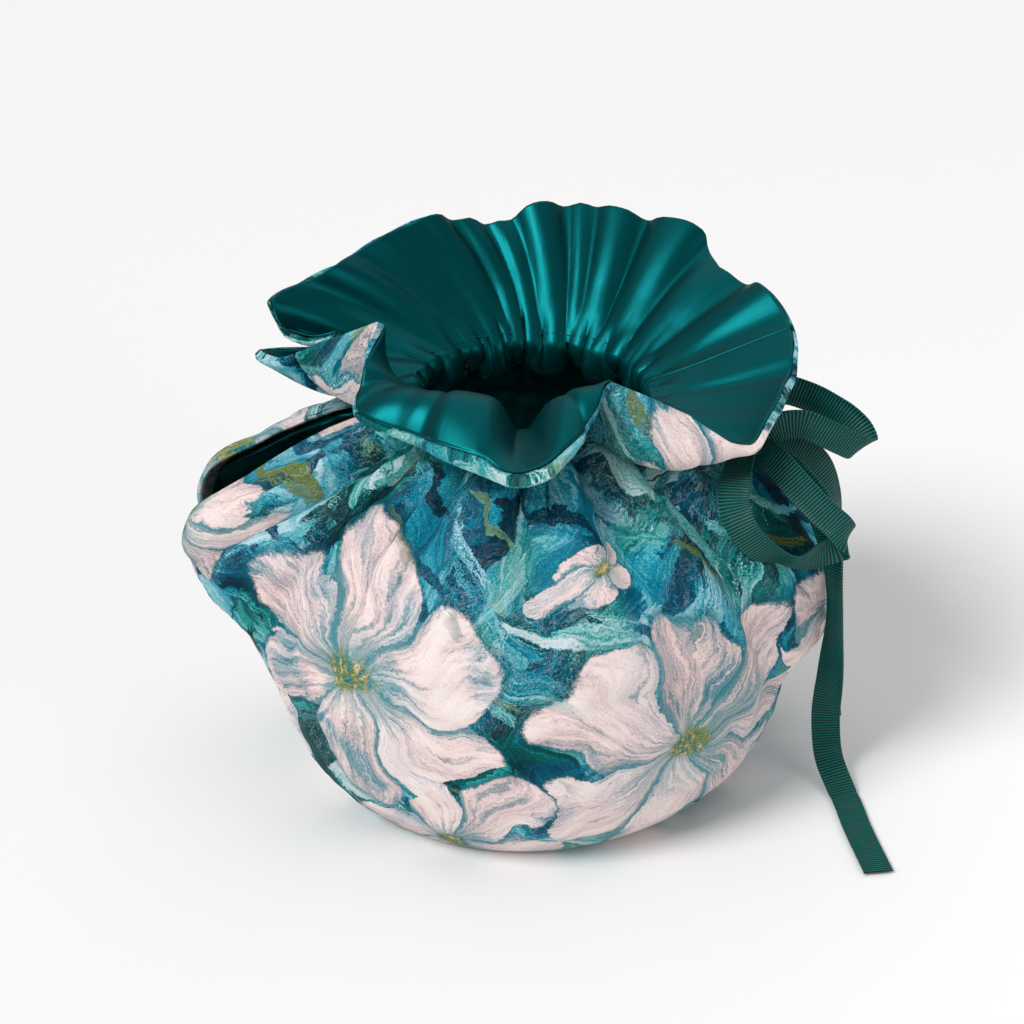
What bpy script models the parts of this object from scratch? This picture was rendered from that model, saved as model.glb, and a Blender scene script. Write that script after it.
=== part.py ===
# Tea cosy: a padded, gathered teapot cover that stands on its hem.
#
# It is sewn from a front and a back panel, each of printed cloth with a satin lining. The side seams
# are left open at the spout and at the handle, the neck is drawn in, and the cloth above it stands as
# a fluted frill. A ribbon comes out of the neck beside the handle and is tied in a bow.
#
# Lengths in the tables are in millimetres and angles in degrees. Azimuth 0 is the handle side (+X),
# 90 the back (+Y), 180 the spout side (-X) and -90 the front (-Y).

import math

import bmesh
import bpy
import numpy as np
from mathutils import Matrix

MM = 0.001

# Driving sizes of the cosy, in millimetres.
NECK_RADIUS = 40.0
NECK_TOP = 138.5  # the frill starts here, above the ribbon's channel
PRINT_THICKNESS = 2.4  # printed cloth with its padding
LINING_THICKNESS = 1.0
LAYER_GAP = 0.5
SEAM_GAP = 0.4  # between the front and the back panel
LIP_SETBACK_ANGLE = 1.2  # print that shows inside the slits' lips, in degrees
RIBBON_WIDTH = 10.0
RIBBON_THICKNESS = 0.8

# Grid of each panel: columns round it, and rows by their share of the way from the neck.
FRONT_COLUMNS = 46
BACK_COLUMNS = 34
FRILL_STATIONS = (1.0, 0.86, 0.71, 0.56, 0.41, 0.26, 0.12, 0.0)
BODY_STATIONS = (
    0.0, 0.04, 0.08, 0.12, 0.17, 0.23, 0.29, 0.35, 0.41, 0.475, 0.54, 0.59, 0.64, 0.70, 0.77, 0.835, 0.89, 0.945, 1.0,
)
LINING_BODY_STATIONS = (0.0, 0.04, 0.08, 0.12, 0.17, 0.23, 0.35, 0.475, 0.54, 0.59, 0.64, 0.70, 0.835)
LINING_HANG = 1.4  # how far the body's lining hangs clear of the print

# Side profile of the plain body, from the neck down to the turned-under hem.
BODY_PROFILE = (
    # height, radius
    (132.5, 41.0),
    (130.5, 45.5),
    (127.0, 51.5),
    (121.5, 59.5),
    (114.0, 68.5),
    (104.0, 77.0),
    (90.0, 84.5),
    (73.0, 88.5),
    (54.0, 89.5),
    (36.0, 88.0),
    (20.0, 83.0),
    (8.5, 75.0),
    (2.75, 68.0),
    (2.75, 59.0),
)

# Where the body is fuller than its plain profile.
BODY_SWELLS = (
    # azimuth, height, amount, half width in degrees, half height
    (-115.0, 8.0, 2.5, 60.0, 34.0),
)

# The frill, section by section. A section starts at the neck, passes its crest and ends at its edge.
FRILL_SECTIONS = (
    # neck azimuth, crest azimuth, crest radius, crest height, edge azimuth, edge radius, edge height
    (-174.0, -174.5, 66.0, 137.0, -175.5, 65.0, 160.0),
    (-162.5, -163.0, 50.0, 152.0, -165.0, 50.5, 168.0),
    (-150.0, -150.5, 53.0, 154.0, -151.8, 62.0, 158.0),
    (-139.0, -141.0, 55.0, 153.0, -143.6, 70.0, 146.5),
    (-127.5, -128.0, 54.0, 155.0, -128.5, 67.0, 144.0),
    (-115.5, -115.0, 53.0, 157.0, -113.7, 71.5, 143.5),
    (-105.5, -104.0, 52.0, 155.5, -102.5, 76.0, 143.0),
    (-98.0, -96.0, 54.0, 143.5, -94.1, 80.4, 143.0),
    (-92.0, -89.5, 54.0, 146.0, -87.6, 80.2, 145.0),
    (-84.5, -82.0, 51.0, 155.0, -80.1, 72.8, 148.0),
    (-74.5, -73.5, 50.0, 158.0, -72.2, 62.2, 154.0),
    (-66.0, -64.8, 49.0, 154.0, -63.5, 54.8, 162.0),
    (-58.0, -57.0, 61.0, 140.0, -56.0, 58.0, 158.0),
    (-47.0, -46.0, 70.0, 136.0, -45.0, 67.0, 150.5),
    (-34.0, -34.0, 68.0, 137.0, -34.0, 85.0, 140.0),
    (-19.0, -19.0, 65.0, 142.0, -19.5, 86.5, 149.0),
    (-4.5, -5.0, 63.0, 148.0, -5.3, 87.8, 158.0),
    (14.5, 14.0, 61.0, 154.0, 13.6, 81.7, 168.0),
    (29.5, 30.0, 58.0, 156.0, 30.5, 77.5, 166.0),
    (42.0, 42.0, 59.0, 160.0, 41.8, 80.1, 178.0),
    (55.0, 55.5, 58.0, 160.0, 56.4, 77.2, 178.0),
    (71.5, 74.0, 57.0, 161.0, 76.4, 76.2, 180.0),
    (81.0, 84.0, 56.0, 161.0, 87.2, 72.5, 180.0),
    (91.5, 95.5, 55.0, 160.0, 99.8, 69.0, 175.0),
    (108.5, 115.0, 55.0, 161.0, 121.9, 68.8, 180.0),
    (115.5, 123.0, 56.0, 160.0, 130.8, 70.5, 178.0),
    (131.5, 141.0, 58.0, 157.0, 150.2, 74.4, 172.0),
    (145.0, 155.0, 62.0, 152.0, 165.0, 81.6, 168.0),
    (154.0, 163.0, 66.0, 149.0, 172.3, 89.7, 165.0),
    (164.0, 170.0, 69.0, 141.0, 175.7, 91.5, 150.0),
    (170.0, 174.5, 69.0, 138.0, 179.2, 85.3, 148.0),
)

# Pleats of the satin at the back of the frill, as troughs seen from inside.
FRILL_PLEATS = (
    # neck azimuth, edge azimuth shift, depth at the edge, half width at the edge
    (38.0, 0.0, 4.5, 7.0),
    (58.0, 2.0, 3.6, 6.0),
    (68.0, 2.0, 2.0, 4.0),
    (76.0, 2.0, 3.4, 6.0),
    (86.0, 3.0, 2.6, 5.0),
    (93.0, 3.0, 2.2, 4.5),
    (100.0, 3.0, 3.0, 6.0),
    (124.0, 4.0, 3.2, 9.0),
    (140.0, 4.0, 3.0, 8.0),
    (22.0, 0.0, 2.4, 6.0),
    (4.0, 0.0, 2.2, 8.0),
)

# How far up the frill its lining reaches. The print is rolled over the edge above it.
LINING_EDGE = (
    # azimuth, share of the frill's width
    (-178.0, 0.96),
    (-150.0, 0.925),
    (-95.0, 0.91),
    (-65.0, 0.935),
    (-40.0, 0.955),
    (-5.0, 0.965),
    (30.0, 0.99),
    (150.0, 0.99),
)

# The open stretches of the side seams, where the spout's root and the handle push the cloth out.
SPOUT_SIDE = (
    # height, how far it is pushed out, how far the front lip and the back lip are drawn apart
    (132.5, 0.0, 0.0, 0.0),
    (130.0, 7.0, 3.0, 4.0),
    (125.5, 15.0, 8.0, 8.0),
    (112.0, 23.5, 14.5, 12.0),
    (100.0, 33.0, 17.5, 14.0),
    (84.0, 28.5, 13.0, 11.0),
    (68.0, 19.5, 5.0, 6.0),
    (56.0, 11.0, 0.0, 0.0),
    (45.0, 5.0, 0.0, 0.0),
    (34.0, 1.0, 0.0, 0.0),
    (24.0, 0.0, 0.0, 0.0),
)
HANDLE_SIDE = (
    (132.5, 0.0, 0.0, 0.0),
    (126.0, 4.0, 5.0, 6.0),
    (115.0, 11.0, 8.5, 11.0),
    (100.0, 15.0, 10.5, 14.0),
    (86.0, 17.0, 11.0, 14.0),
    (70.0, 14.0, 10.5, 12.0),
    (56.0, 11.0, 9.0, 9.0),
    (48.0, 2.0, 5.0, 4.0),
    (40.0, 0.0, 0.0, 0.0),
)
SPOUT_SPREAD = 23.0  # degrees from the seam in which the push dies away
HANDLE_SPREAD = 24.0
LIP_SPREAD = 15.0

# Main creases of the body: soft ridges (+) and troughs (-) along a line from its upper to its lower end.
BODY_FOLDS = (
    # azimuth, height, to azimuth, to height, depth, half width
    (-148.0, 130.0, -171.0, 84.0, -6.0, 11.0),
    (-159.0, 130.0, -176.0, 92.0, 3.5, 12.0),
    (-137.0, 129.0, -158.0, 62.0, -2.5, 11.0),
    (-128.0, 129.0, -137.0, 84.0, 3.0, 11.0),
    (-116.0, 130.0, -121.0, 82.0, -3.0, 10.0),
    (-105.0, 130.0, -104.0, 94.0, 3.0, 11.0),
    (-94.0, 130.0, -88.0, 76.0, -3.2, 10.0),
    (-83.0, 130.0, -72.0, 86.0, 3.0, 11.0),
    (-72.0, 130.0, -55.0, 64.0, -3.4, 11.0),
    (-61.0, 130.0, -42.0, 62.0, 3.4, 11.0),
    (-50.0, 130.0, -31.0, 54.0, -3.8, 11.0),
    (-38.0, 129.0, -20.0, 58.0, 3.2, 11.0),
    (26.0, 130.0, 19.0, 62.0, -3.0, 11.0),
    (40.0, 130.0, 38.0, 76.0, 3.0, 11.0),
    (54.0, 130.0, 53.0, 80.0, -3.2, 11.0),
    (68.0, 130.0, 69.0, 86.0, 3.0, 11.0),
    (82.0, 130.0, 84.0, 72.0, -3.2, 11.0),
    (96.0, 130.0, 101.0, 88.0, 3.0, 11.0),
    (110.0, 130.0, 116.0, 74.0, -3.2, 11.0),
    (124.0, 130.0, 129.0, 84.0, 3.0, 11.0),
    (138.0, 129.0, 152.0, 70.0, -3.4, 11.0),
    (152.0, 130.0, 167.0, 88.0, 3.0, 12.0),
)

# The bow: each strand's middle line, and the way the ribbon's width runs there.
KNOT_PLACE = (71.5, -19.0, 127.8)
KNOT_SIZE = (11.0, 12.0, 9.0)
RIBBON_STRANDS = {
    "from_channel_front": (
        # x, y, z, then the direction of the ribbon's width
        (44.8, -15.4, 134.2, 0.3, 1.0, 0.0),
        (50.0, -16.6, 133.2, 0.3, 1.0, 0.0),
        (60.0, -18.6, 130.5, 0.3, 1.0, 0.0),
        (71.0, -20.5, 127.6, 0.3, 1.0, 0.0),
    ),
    "from_channel_back": (
        (44.8, -3.6, 134.6, 0.1, 1.0, 0.0),
        (50.0, -5.6, 133.6, 0.3, 1.0, 0.0),
        (60.0, -11.0, 130.8, 0.4, 1.0, 0.0),
        (71.0, -17.0, 127.8, 0.4, 1.0, 0.0),
    ),
    "loop_back": (
        (72.0, -17.0, 128.0, 0.1, 0.5, 0.9),
        (76.0, -10.5, 133.5, 0.0, 0.4, 0.9),
        (84.0, -5.5, 140.5, 0.2, 0.2, 1.0),
        (92.0, -5.0, 138.5, 0.3, 0.1, 1.0),
        (100.3, -6.0, 134.5, 0.4, 0.1, 0.9),
        (106.3, -8.0, 131.0, 0.5, 0.1, 0.8),
        (110.4, -10.0, 127.0, 0.7, 0.1, 0.7),
        (111.5, -13.5, 124.3, 0.8, 0.0, 0.6),
        (108.9, -17.5, 124.9, 0.7, 0.0, 0.7),
        (103.1, -20.0, 128.4, 0.5, 0.0, 0.9),
        (97.0, -21.0, 131.8, 0.4, 0.0, 0.9),
        (88.8, -21.0, 135.2, 0.2, 0.0, 1.0),
        (82.0, -21.0, 134.5, 0.0, 0.1, 1.0),
        (72.0, -20.0, 128.5, 0.0, 0.2, 0.9),
    ),
    "loop_front": (
        (72.0, -20.0, 128.0, 0.5, 0.3, 0.8),
        (79.3, -31.0, 126.5, 0.7, 0.0, 0.7),
        (87.4, -38.0, 119.4, 0.7, 0.0, 0.7),
        (94.5, -42.0, 113.0, 0.6, 0.0, 0.8),
        (100.4, -42.5, 107.6, 0.4, 0.1, 0.9),
        (103.2, -40.5, 102.0, 0.1, 0.2, 1.0),
        (101.0, -38.0, 98.0, -0.1, 0.1, 1.0),
        (96.3, -39.5, 96.9, -0.1, -0.1, 1.0),
        (89.5, -44.5, 97.4, -0.1, -0.5, 0.8),
        (83.6, -48.5, 99.2, 0.1, -0.7, 0.6),
        (74.2, -52.5, 104.8, 0.4, -0.3, 0.8),
        (67.6, -54.0, 112.7, 0.6, 0.0, 0.7),
        (64.4, -52.0, 120.0, 0.8, 0.2, 0.5),
        (64.9, -45.0, 125.0, 0.8, 0.5, 0.3),
        (67.5, -34.0, 127.5, 0.9, 0.4, 0.3),
        (71.0, -20.0, 127.5, 0.9, 0.2, 0.2),
    ),
    "tail_long": (
        (72.0, -19.0, 127.0, 0.5, 0.5, 0.7),
        (83.0, -25.5, 122.0, 0.6, 0.3, 0.7),
        (94.0, -30.5, 111.0, 0.7, -0.1, 0.6),
        (99.0, -33.5, 97.0, 0.6, -0.6, 0.2),
        (101.4, -34.5, 82.0, 0.4, -0.9, 0.1),
        (103.4, -31.0, 64.0, 0.4, -0.9, 0.1),
        (104.0, -27.5, 43.0, 0.8, -0.6, 0.0),
        (104.0, -26.0, 22.0, 1.0, -0.1, 0.0),
        (106.0, -27.5, 8.0, 1.0, -0.1, 0.0),
        (109.5, -38.0, 1.2, 1.0, -0.1, 0.0),
        (111.8, -60.0, 0.8, 1.0, -0.13, 0.0),
        (115.0, -84.0, 0.8, 1.0, -0.13, 0.0),
    ),
    "tail_short": (
        (72.0, -17.0, 127.0, 0.4, 0.6, 0.6),
        (83.0, -12.0, 126.0, 0.5, 0.6, 0.5),
        (96.0, -10.5, 117.0, 0.6, 0.5, 0.5),
        (103.0, -11.5, 105.0, 0.4, 0.8, 0.2),
        (106.4, -12.0, 90.0, 0.1, 1.0, 0.1),
        (107.0, -11.5, 72.0, 0.1, 1.0, 0.0),
        (107.4, -9.5, 50.0, 0.1, 1.0, 0.0),
        (108.0, -9.0, 30.0, 0.3, 0.9, 0.0),
        (108.0, -10.5, 14.0, 0.9, 0.4, 0.0),
    ),
}
RIBBON_STEPS = 3  # points between two of the table's

# Colours, roughness and metallic value of each cloth.
FINISHES = {
    "print": ((0.36, 0.55, 0.58, 1.0), 0.75, 0.0),
    "satin": ((0.0, 0.20, 0.21, 1.0), 0.38, 0.0),
    "ribbon": ((0.01, 0.13, 0.09, 1.0), 0.55, 0.0),
}


def clear_scene():
    for item in list(bpy.data.objects):
        bpy.data.objects.remove(item)


def make_material(name):
    colour, roughness, metallic = FINISHES[name]
    material = bpy.data.materials.new(name)
    material.use_nodes = True
    shader = material.node_tree.nodes["Principled BSDF"]
    shader.inputs["Base Color"].default_value = colour
    shader.inputs["Roughness"].default_value = roughness
    shader.inputs["Metallic"].default_value = metallic
    return material


def turned(angle):
    """An angle brought into -180 to 180 degrees."""
    return (angle + 180.0) % 360.0 - 180.0


def hump(x):
    """1 at 0, falling smoothly to 0 at -1 and 1."""
    return np.clip(1.0 - x * x, 0.0, 1.0) ** 2


def smooth_curve(known_x, known_y, x):
    """A smooth curve through known points that never swings past them (a monotone cubic)."""
    step = np.diff(known_x)
    slope = np.diff(known_y) / step
    same_way = slope[1:] * slope[:-1] > 0
    total = np.where(same_way, slope[1:] + slope[:-1], 1.0)
    inner = np.where(same_way, 2.0 * slope[1:] * slope[:-1] / total, 0.0)
    tangent = np.concatenate([slope[:1], inner, slope[-1:]])
    index = np.clip(np.searchsorted(known_x, x, side="right") - 1, 0, len(step) - 1)
    t = (x - known_x[index]) / step[index]
    h00 = 2 * t**3 - 3 * t**2 + 1
    h10 = t**3 - 2 * t**2 + t
    h01 = -2 * t**3 + 3 * t**2
    h11 = t**3 - t**2
    return (
        h00 * known_y[index]
        + h10 * step[index] * tangent[index]
        + h01 * known_y[index + 1]
        + h11 * step[index] * tangent[index + 1]
    )


def around_table(table, column, azimuth):
    """One column of a table whose first column is an azimuth, read all the way round."""
    rows = np.array(table, float)
    rows = rows[np.argsort(rows[:, 0])]
    lap = np.concatenate([rows[-3:, 0] - 360.0, rows[:, 0], rows[:3, 0] + 360.0])
    values = np.concatenate([rows[-3:, column], rows[:, column], rows[:3, column]])
    return smooth_curve(lap, values, azimuth)


def frill_points(azimuth, t):
    """Points of the frill: t is 0 at the neck and 1 at the free edge. Returns azimuth, radius, height."""
    azimuth, t = np.broadcast_arrays(azimuth, t)
    lap = np.array(FRILL_SECTIONS, float)
    lap[:, 1] = turned(lap[:, 1] - lap[:, 0])
    lap[:, 4] = turned(lap[:, 4] - lap[:, 0])
    at_neck, at_crest, at_edge = (1 - t) * (1 - 2 * t), 4 * t * (1 - t), t * (2 * t - 1)
    shift = at_crest * around_table(lap, 1, azimuth) + at_edge * around_table(lap, 4, azimuth)
    radius = (
        at_neck * NECK_RADIUS
        + at_crest * around_table(lap, 2, azimuth)
        + at_edge * around_table(lap, 5, azimuth)
    )
    height = (
        at_neck * NECK_TOP
        + at_crest * around_table(lap, 3, azimuth)
        + at_edge * around_table(lap, 6, azimuth)
    )
    return azimuth + shift, radius, height


def side_shape(azimuth, height, column):
    """One column of the table of the nearer open seam, read at a height, and the angle from that seam."""
    spout = np.array(SPOUT_SIDE, float)[::-1]
    handle = np.array(HANDLE_SIDE, float)[::-1]
    away = turned(azimuth)
    by_handle = np.abs(away) < 90.0
    value = np.where(
        by_handle,
        smooth_curve(handle[:, 0], handle[:, column], np.maximum(height, handle[0, 0])),
        smooth_curve(spout[:, 0], spout[:, column], np.maximum(height, spout[0, 0])),
    )
    return value, by_handle, np.where(by_handle, away, turned(azimuth - 180.0))


def body_points(azimuth, t):
    """Points of the body: t is 0 at the neck and 1 at the hem's inner edge. Returns azimuth, radius, height."""
    azimuth, t = np.broadcast_arrays(azimuth, t)
    height, radius = np.array(BODY_PROFILE, float).T
    along = np.concatenate([[0.0], np.cumsum(np.hypot(np.diff(height), np.diff(radius)))])
    along /= along[-1]
    z = smooth_curve(along, height, t)
    r = smooth_curve(along, radius, t)
    push, by_handle, away = side_shape(azimuth, z, 1)
    r = r + push * np.exp(-((away / np.where(by_handle, HANDLE_SPREAD, SPOUT_SPREAD)) ** 2))
    for centre, level, amount, half_angle, half_height in BODY_SWELLS:
        r = r + amount * hump(turned(azimuth - centre) / half_angle) * hump((z - level) / half_height)
    return azimuth, r, z


def lip_opening(azimuth, height, side):
    """How far the cloth beside an open seam is drawn away from it, to the front (-1) or to the back (+1)."""
    drawn, _, away = side_shape(azimuth, height, 2 if side < 0 else 3)
    return side * drawn * np.exp(-((away / LIP_SPREAD) ** 2))


def fold_relief(azimuth, height):
    """How far the body's creases stand out from it."""
    across = math.radians(1.0) * 80.0  # millimetres of cloth for one degree
    relief = np.zeros_like(azimuth)
    for az0, z0, az1, z1, depth, half_width in BODY_FOLDS:
        run = np.array([(az1 - az0) * across, z1 - z0])
        x = turned(azimuth - az0) * across
        y = height - z0
        t = np.clip((x * run[0] + y * run[1]) / (run @ run), 0.0, 1.0)
        away = np.hypot(x - t * run[0], y - t * run[1])
        relief += depth * (1.0 - 0.75 * t) * hump(away / half_width)
    return relief * np.clip((height - 12.0) / 30.0, 0.0, 1.0)


def pleat_relief(azimuth, t):
    """How far the frill's pleats stand out on its printed side."""
    across = math.radians(1.0) * 60.0
    azimuth, t = np.broadcast_arrays(azimuth, t)
    relief = np.zeros_like(azimuth)
    for centre, shift, depth, half_width in FRILL_PLEATS:
        width = half_width * (0.55 + 0.45 * t)
        away = turned(azimuth - centre - shift * t) * across / width
        relief += depth * np.sqrt(t) * hump(away)
    return relief


def surface_normals(points):
    """Unit normals of a grid of points, on its printed side. Those of the side seams stay in the seam's plane."""
    across = np.gradient(points, axis=1)
    down = np.gradient(points, axis=0)
    normals = np.cross(down, across)
    normals[:, [0, -1], 1] = 0.0
    return normals / np.linalg.norm(normals, axis=2, keepdims=True)


def panel_surface(side, frill_columns, frill_t, body_columns, body_t):
    """The sheet between the print and its lining, for the front panel (side -1) or the back one (side 1).
    Rows run from the frill's edge, over the neck and down to the hem. Columns run with the azimuth."""
    azimuth, radius, height = (
        np.concatenate(pair, axis=0)
        for pair in zip(frill_points(frill_columns, frill_t), body_points(body_columns, body_t))
    )
    x = radius * np.cos(np.radians(azimuth))
    y = radius * np.sin(np.radians(azimuth))
    in_frill, in_body = slice(None, len(frill_t)), slice(len(frill_t), None)
    y[in_body] += lip_opening(azimuth[in_body], height[in_body], side)
    y += side * SEAM_GAP / 2
    points = np.stack([x, y, height], axis=2)
    relief = np.zeros_like(x)
    relief[in_frill] = pleat_relief(frill_columns, frill_t)
    relief[in_body] = fold_relief(azimuth[in_body], height[in_body])
    return points + surface_normals(points) * relief[..., None]


def cloth_shell(name, outside, inside, material):
    """A closed piece of cloth: a flat grid, extruded once, whose points are laid on two surfaces."""
    rows, columns = outside.shape[0] - 1, outside.shape[1] - 1
    mesh = bmesh.new()
    bmesh.ops.create_grid(mesh, x_segments=columns, y_segments=rows, size=0.5)
    lower = list(mesh.verts)
    bmesh.ops.extrude_face_region(mesh, geom=mesh.faces[:], use_keep_orig=True)
    lower = set(lower)
    for vertex in mesh.verts:
        column = round((vertex.co.x + 0.5) * columns)
        row = round((0.5 - vertex.co.y) * rows)
        surface = inside if vertex in lower else outside
        vertex.co = surface[row, column] * MM
    bmesh.ops.recalc_face_normals(mesh, faces=mesh.faces[:])
    if mesh.calc_volume(signed=True) < 0:
        bmesh.ops.reverse_faces(mesh, faces=mesh.faces[:])
    data = bpy.data.meshes.new(name)
    mesh.to_mesh(data)
    mesh.free()
    data.shade_smooth()
    data.set_sharp_from_angle(angle=math.radians(50))
    data.materials.append(material)
    piece = bpy.data.objects.new(name, data)
    bpy.context.collection.objects.link(piece)
    return piece


def add_panel(side, name, column_count, print_material, satin_material):
    """One panel: its print with the padding outside, and its lining inside."""
    start = -180.0 if side < 0 else 0.0
    columns = np.linspace(start, start + 180.0, column_count + 1)[None, :]
    frill_t = np.array(FRILL_STATIONS)[:, None]
    surface = panel_surface(side, columns, frill_t, columns, np.array(BODY_STATIONS)[:, None])
    normals = surface_normals(surface)
    outside = surface + normals * (LAYER_GAP / 2 + PRINT_THICKNESS)
    inside = surface + normals * LAYER_GAP / 2
    hem = slice(-2, None)
    outside[hem, :, 2] = 0.0
    outside[..., 2] = np.maximum(outside[..., 2], 0.0)
    inside[hem, :, 2] = PRINT_THICKNESS
    cover = cloth_shell(f"cover_{name}", outside, inside, print_material)

    frill_t = frill_t + 0.0 * columns
    frill_t[0] = around_table(LINING_EDGE, 1, columns[0])
    body_t = np.array(LINING_BODY_STATIONS)[:, None]
    in_slit = hump((body_t - 0.42) / 0.34) ** 0.25
    body_columns = columns + 0.0 * body_t
    body_columns[:, :1] += LIP_SETBACK_ANGLE * in_slit
    body_columns[:, -1:] -= LIP_SETBACK_ANGLE * in_slit
    surface = panel_surface(side, columns, frill_t, body_columns, body_t)
    normals = surface_normals(surface)
    hang = np.full((len(surface), 1, 1), 0.25)
    hang[len(frill_t):, 0] += LINING_HANG * np.clip(body_t / 0.1, 0.0, 1.0)
    outside = surface - normals * (LAYER_GAP / 2 + hang)
    inside = outside - normals * LINING_THICKNESS
    return [cover, cloth_shell(f"lining_{name}", outside, inside, satin_material)]


def ribbon_line(table):
    """A smooth line through a strand's points, and the direction of its width at each."""
    rows = np.array(table, float)
    length = np.concatenate([[0.0], np.cumsum(np.linalg.norm(np.diff(rows[:, :3], axis=0), axis=1))])
    fine = np.interp(
        np.linspace(0, len(rows) - 1, (len(rows) - 1) * RIBBON_STEPS + 1), np.arange(len(rows)), length
    )
    line = np.stack([smooth_through(length, rows[:, k], fine) for k in range(6)], axis=1)
    line[:, 2] = np.maximum(line[:, 2], RIBBON_THICKNESS)
    along = np.gradient(line[:, :3], axis=0)
    along /= np.linalg.norm(along, axis=1, keepdims=True)
    width = line[:, 3:] - along * np.sum(line[:, 3:] * along, axis=1, keepdims=True)
    width /= np.linalg.norm(width, axis=1, keepdims=True)
    return line[:, :3], width, np.cross(along, width)


def smooth_through(known_x, known_y, x):
    """A smooth curve through known points (a Catmull-Rom spline)."""
    tangent = np.gradient(known_y, known_x)
    index = np.clip(np.searchsorted(known_x, x, side="right") - 1, 0, len(known_x) - 2)
    step = known_x[index + 1] - known_x[index]
    t = (x - known_x[index]) / step
    return (
        (2 * t**3 - 3 * t**2 + 1) * known_y[index]
        + (t**3 - 2 * t**2 + t) * step * tangent[index]
        + (3 * t**2 - 2 * t**3) * known_y[index + 1]
        + (t**3 - t**2) * step * tangent[index + 1]
    )


def add_strand(name, table, material):
    line, width, face = ribbon_line(table)
    across = np.array([-0.5, 0.5])[None, :, None] * RIBBON_WIDTH
    middle = line[:, None, :] + across * width[:, None, :]
    thick = face[:, None, :] * RIBBON_THICKNESS / 2
    return cloth_shell(name, middle + thick, middle - thick, material)


def add_knot(name, material):
    """The knot: a small block with well rounded edges."""
    mesh = bmesh.new()
    bmesh.ops.create_cube(mesh, size=1.0)
    bmesh.ops.scale(mesh, vec=[size * MM for size in KNOT_SIZE], verts=mesh.verts)
    bmesh.ops.bevel(
        mesh, geom=mesh.edges[:], offset=3.4 * MM, segments=3, profile=0.5, affect="EDGES", clamp_overlap=True
    )
    bmesh.ops.rotate(mesh, cent=(0, 0, 0), matrix=Matrix.Rotation(math.radians(-30), 3, "Y"), verts=mesh.verts)
    bmesh.ops.translate(mesh, vec=[place * MM for place in KNOT_PLACE], verts=mesh.verts)
    data = bpy.data.meshes.new(name)
    mesh.to_mesh(data)
    mesh.free()
    data.shade_smooth()
    data.materials.append(material)
    piece = bpy.data.objects.new(name, data)
    bpy.context.collection.objects.link(piece)
    return piece


def add_ribbon(name, material):
    """The tie, one solid: its knot with both loops and both tails grown together with it."""
    tie = add_knot(name, material)
    for strand_name, table in RIBBON_STRANDS.items():
        strand = add_strand(strand_name, table, material)
        union = tie.modifiers.new(strand_name, "BOOLEAN")
        union.operation = "UNION"
        union.solver = "EXACT"
        union.use_self = True
        union.object = strand
        bpy.context.view_layer.update()
        joined = bpy.data.meshes.new_from_object(tie.evaluated_get(bpy.context.evaluated_depsgraph_get()))
        tie.modifiers.clear()
        tie.data = joined
        bpy.data.objects.remove(strand)
    tie.data.name = name
    return tie


def stand_on_origin(pieces):
    """Moves the cosy so that the origin is the middle of its footprint."""
    corners = np.array([vertex.co for piece in pieces for vertex in piece.data.vertices])
    low, high = corners.min(axis=0), corners.max(axis=0)
    shift = np.array([-(low[0] + high[0]) / 2, -(low[1] + high[1]) / 2, -low[2]])
    for piece in pieces:
        piece.data.transform(Matrix.Translation(shift))


def build():
    clear_scene()
    printed = make_material("print")
    satin = make_material("satin")
    ribbon = make_material("ribbon")
    pieces = add_panel(-1, "front", FRONT_COLUMNS, printed, satin)
    pieces += add_panel(1, "back", BACK_COLUMNS, printed, satin)
    pieces.append(add_ribbon("ribbon_tie", ribbon))
    stand_on_origin(pieces)


build()
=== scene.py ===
import math

import bmesh
import bpy
import numpy as np
from mathutils import Matrix, Vector


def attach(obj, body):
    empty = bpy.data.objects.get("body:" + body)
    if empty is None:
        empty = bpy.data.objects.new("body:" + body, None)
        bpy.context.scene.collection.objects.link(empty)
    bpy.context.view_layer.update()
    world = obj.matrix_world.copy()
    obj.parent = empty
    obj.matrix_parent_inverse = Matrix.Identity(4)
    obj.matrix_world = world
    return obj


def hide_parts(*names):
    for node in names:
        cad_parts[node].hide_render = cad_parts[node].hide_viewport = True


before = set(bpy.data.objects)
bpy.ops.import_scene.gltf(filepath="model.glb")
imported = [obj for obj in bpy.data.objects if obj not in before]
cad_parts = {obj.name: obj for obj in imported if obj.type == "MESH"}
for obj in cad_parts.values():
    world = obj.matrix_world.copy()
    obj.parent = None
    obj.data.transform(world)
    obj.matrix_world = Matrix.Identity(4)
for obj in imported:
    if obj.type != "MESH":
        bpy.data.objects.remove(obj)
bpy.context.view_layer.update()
scene = bpy.context.scene
mm = 0.001
rowShift = np.array([-0.946, 0.0, 0.0])  # the tables below are in mm, before the part was centred on its footprint

# camera first: it stands as the photograph's does
camera = {"target": (-7.546, 0.0, 92.0), "elevation": 27.0, "distance": 700.0, "lens": 70.63}


def placed(name, data):  # puts data into the scene as an object
    made = bpy.data.objects.new(name, data)
    scene.collection.objects.link(made)
    return made


def pieceFrom(mesh, name, material=None):
    data = bpy.data.meshes.new(name)
    mesh.to_mesh(data)
    mesh.free()
    data.shade_smooth()
    if material:
        data.materials.append(material)
    return placed(name, data)


def lookAt(thing, direction):
    thing.rotation_mode = "QUATERNION"
    thing.rotation_quaternion = direction.to_track_quat("-Z", "Y")


def placeCamera():
    tilt = math.radians(camera["elevation"])
    back = Vector((0.0, -math.cos(tilt), math.sin(tilt)))
    data = bpy.data.cameras.new("camera")
    data.lens = camera["lens"]
    data.sensor_width = 36.0
    data.clip_start = 0.01
    eye = placed("camera", data)
    eye.location = (Vector(camera["target"]) + back * camera["distance"]) * mm
    lookAt(eye, -back)
    scene.camera = eye
    scene.view_settings.view_transform = "Standard"


placeCamera()
print("camera is placed")

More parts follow.
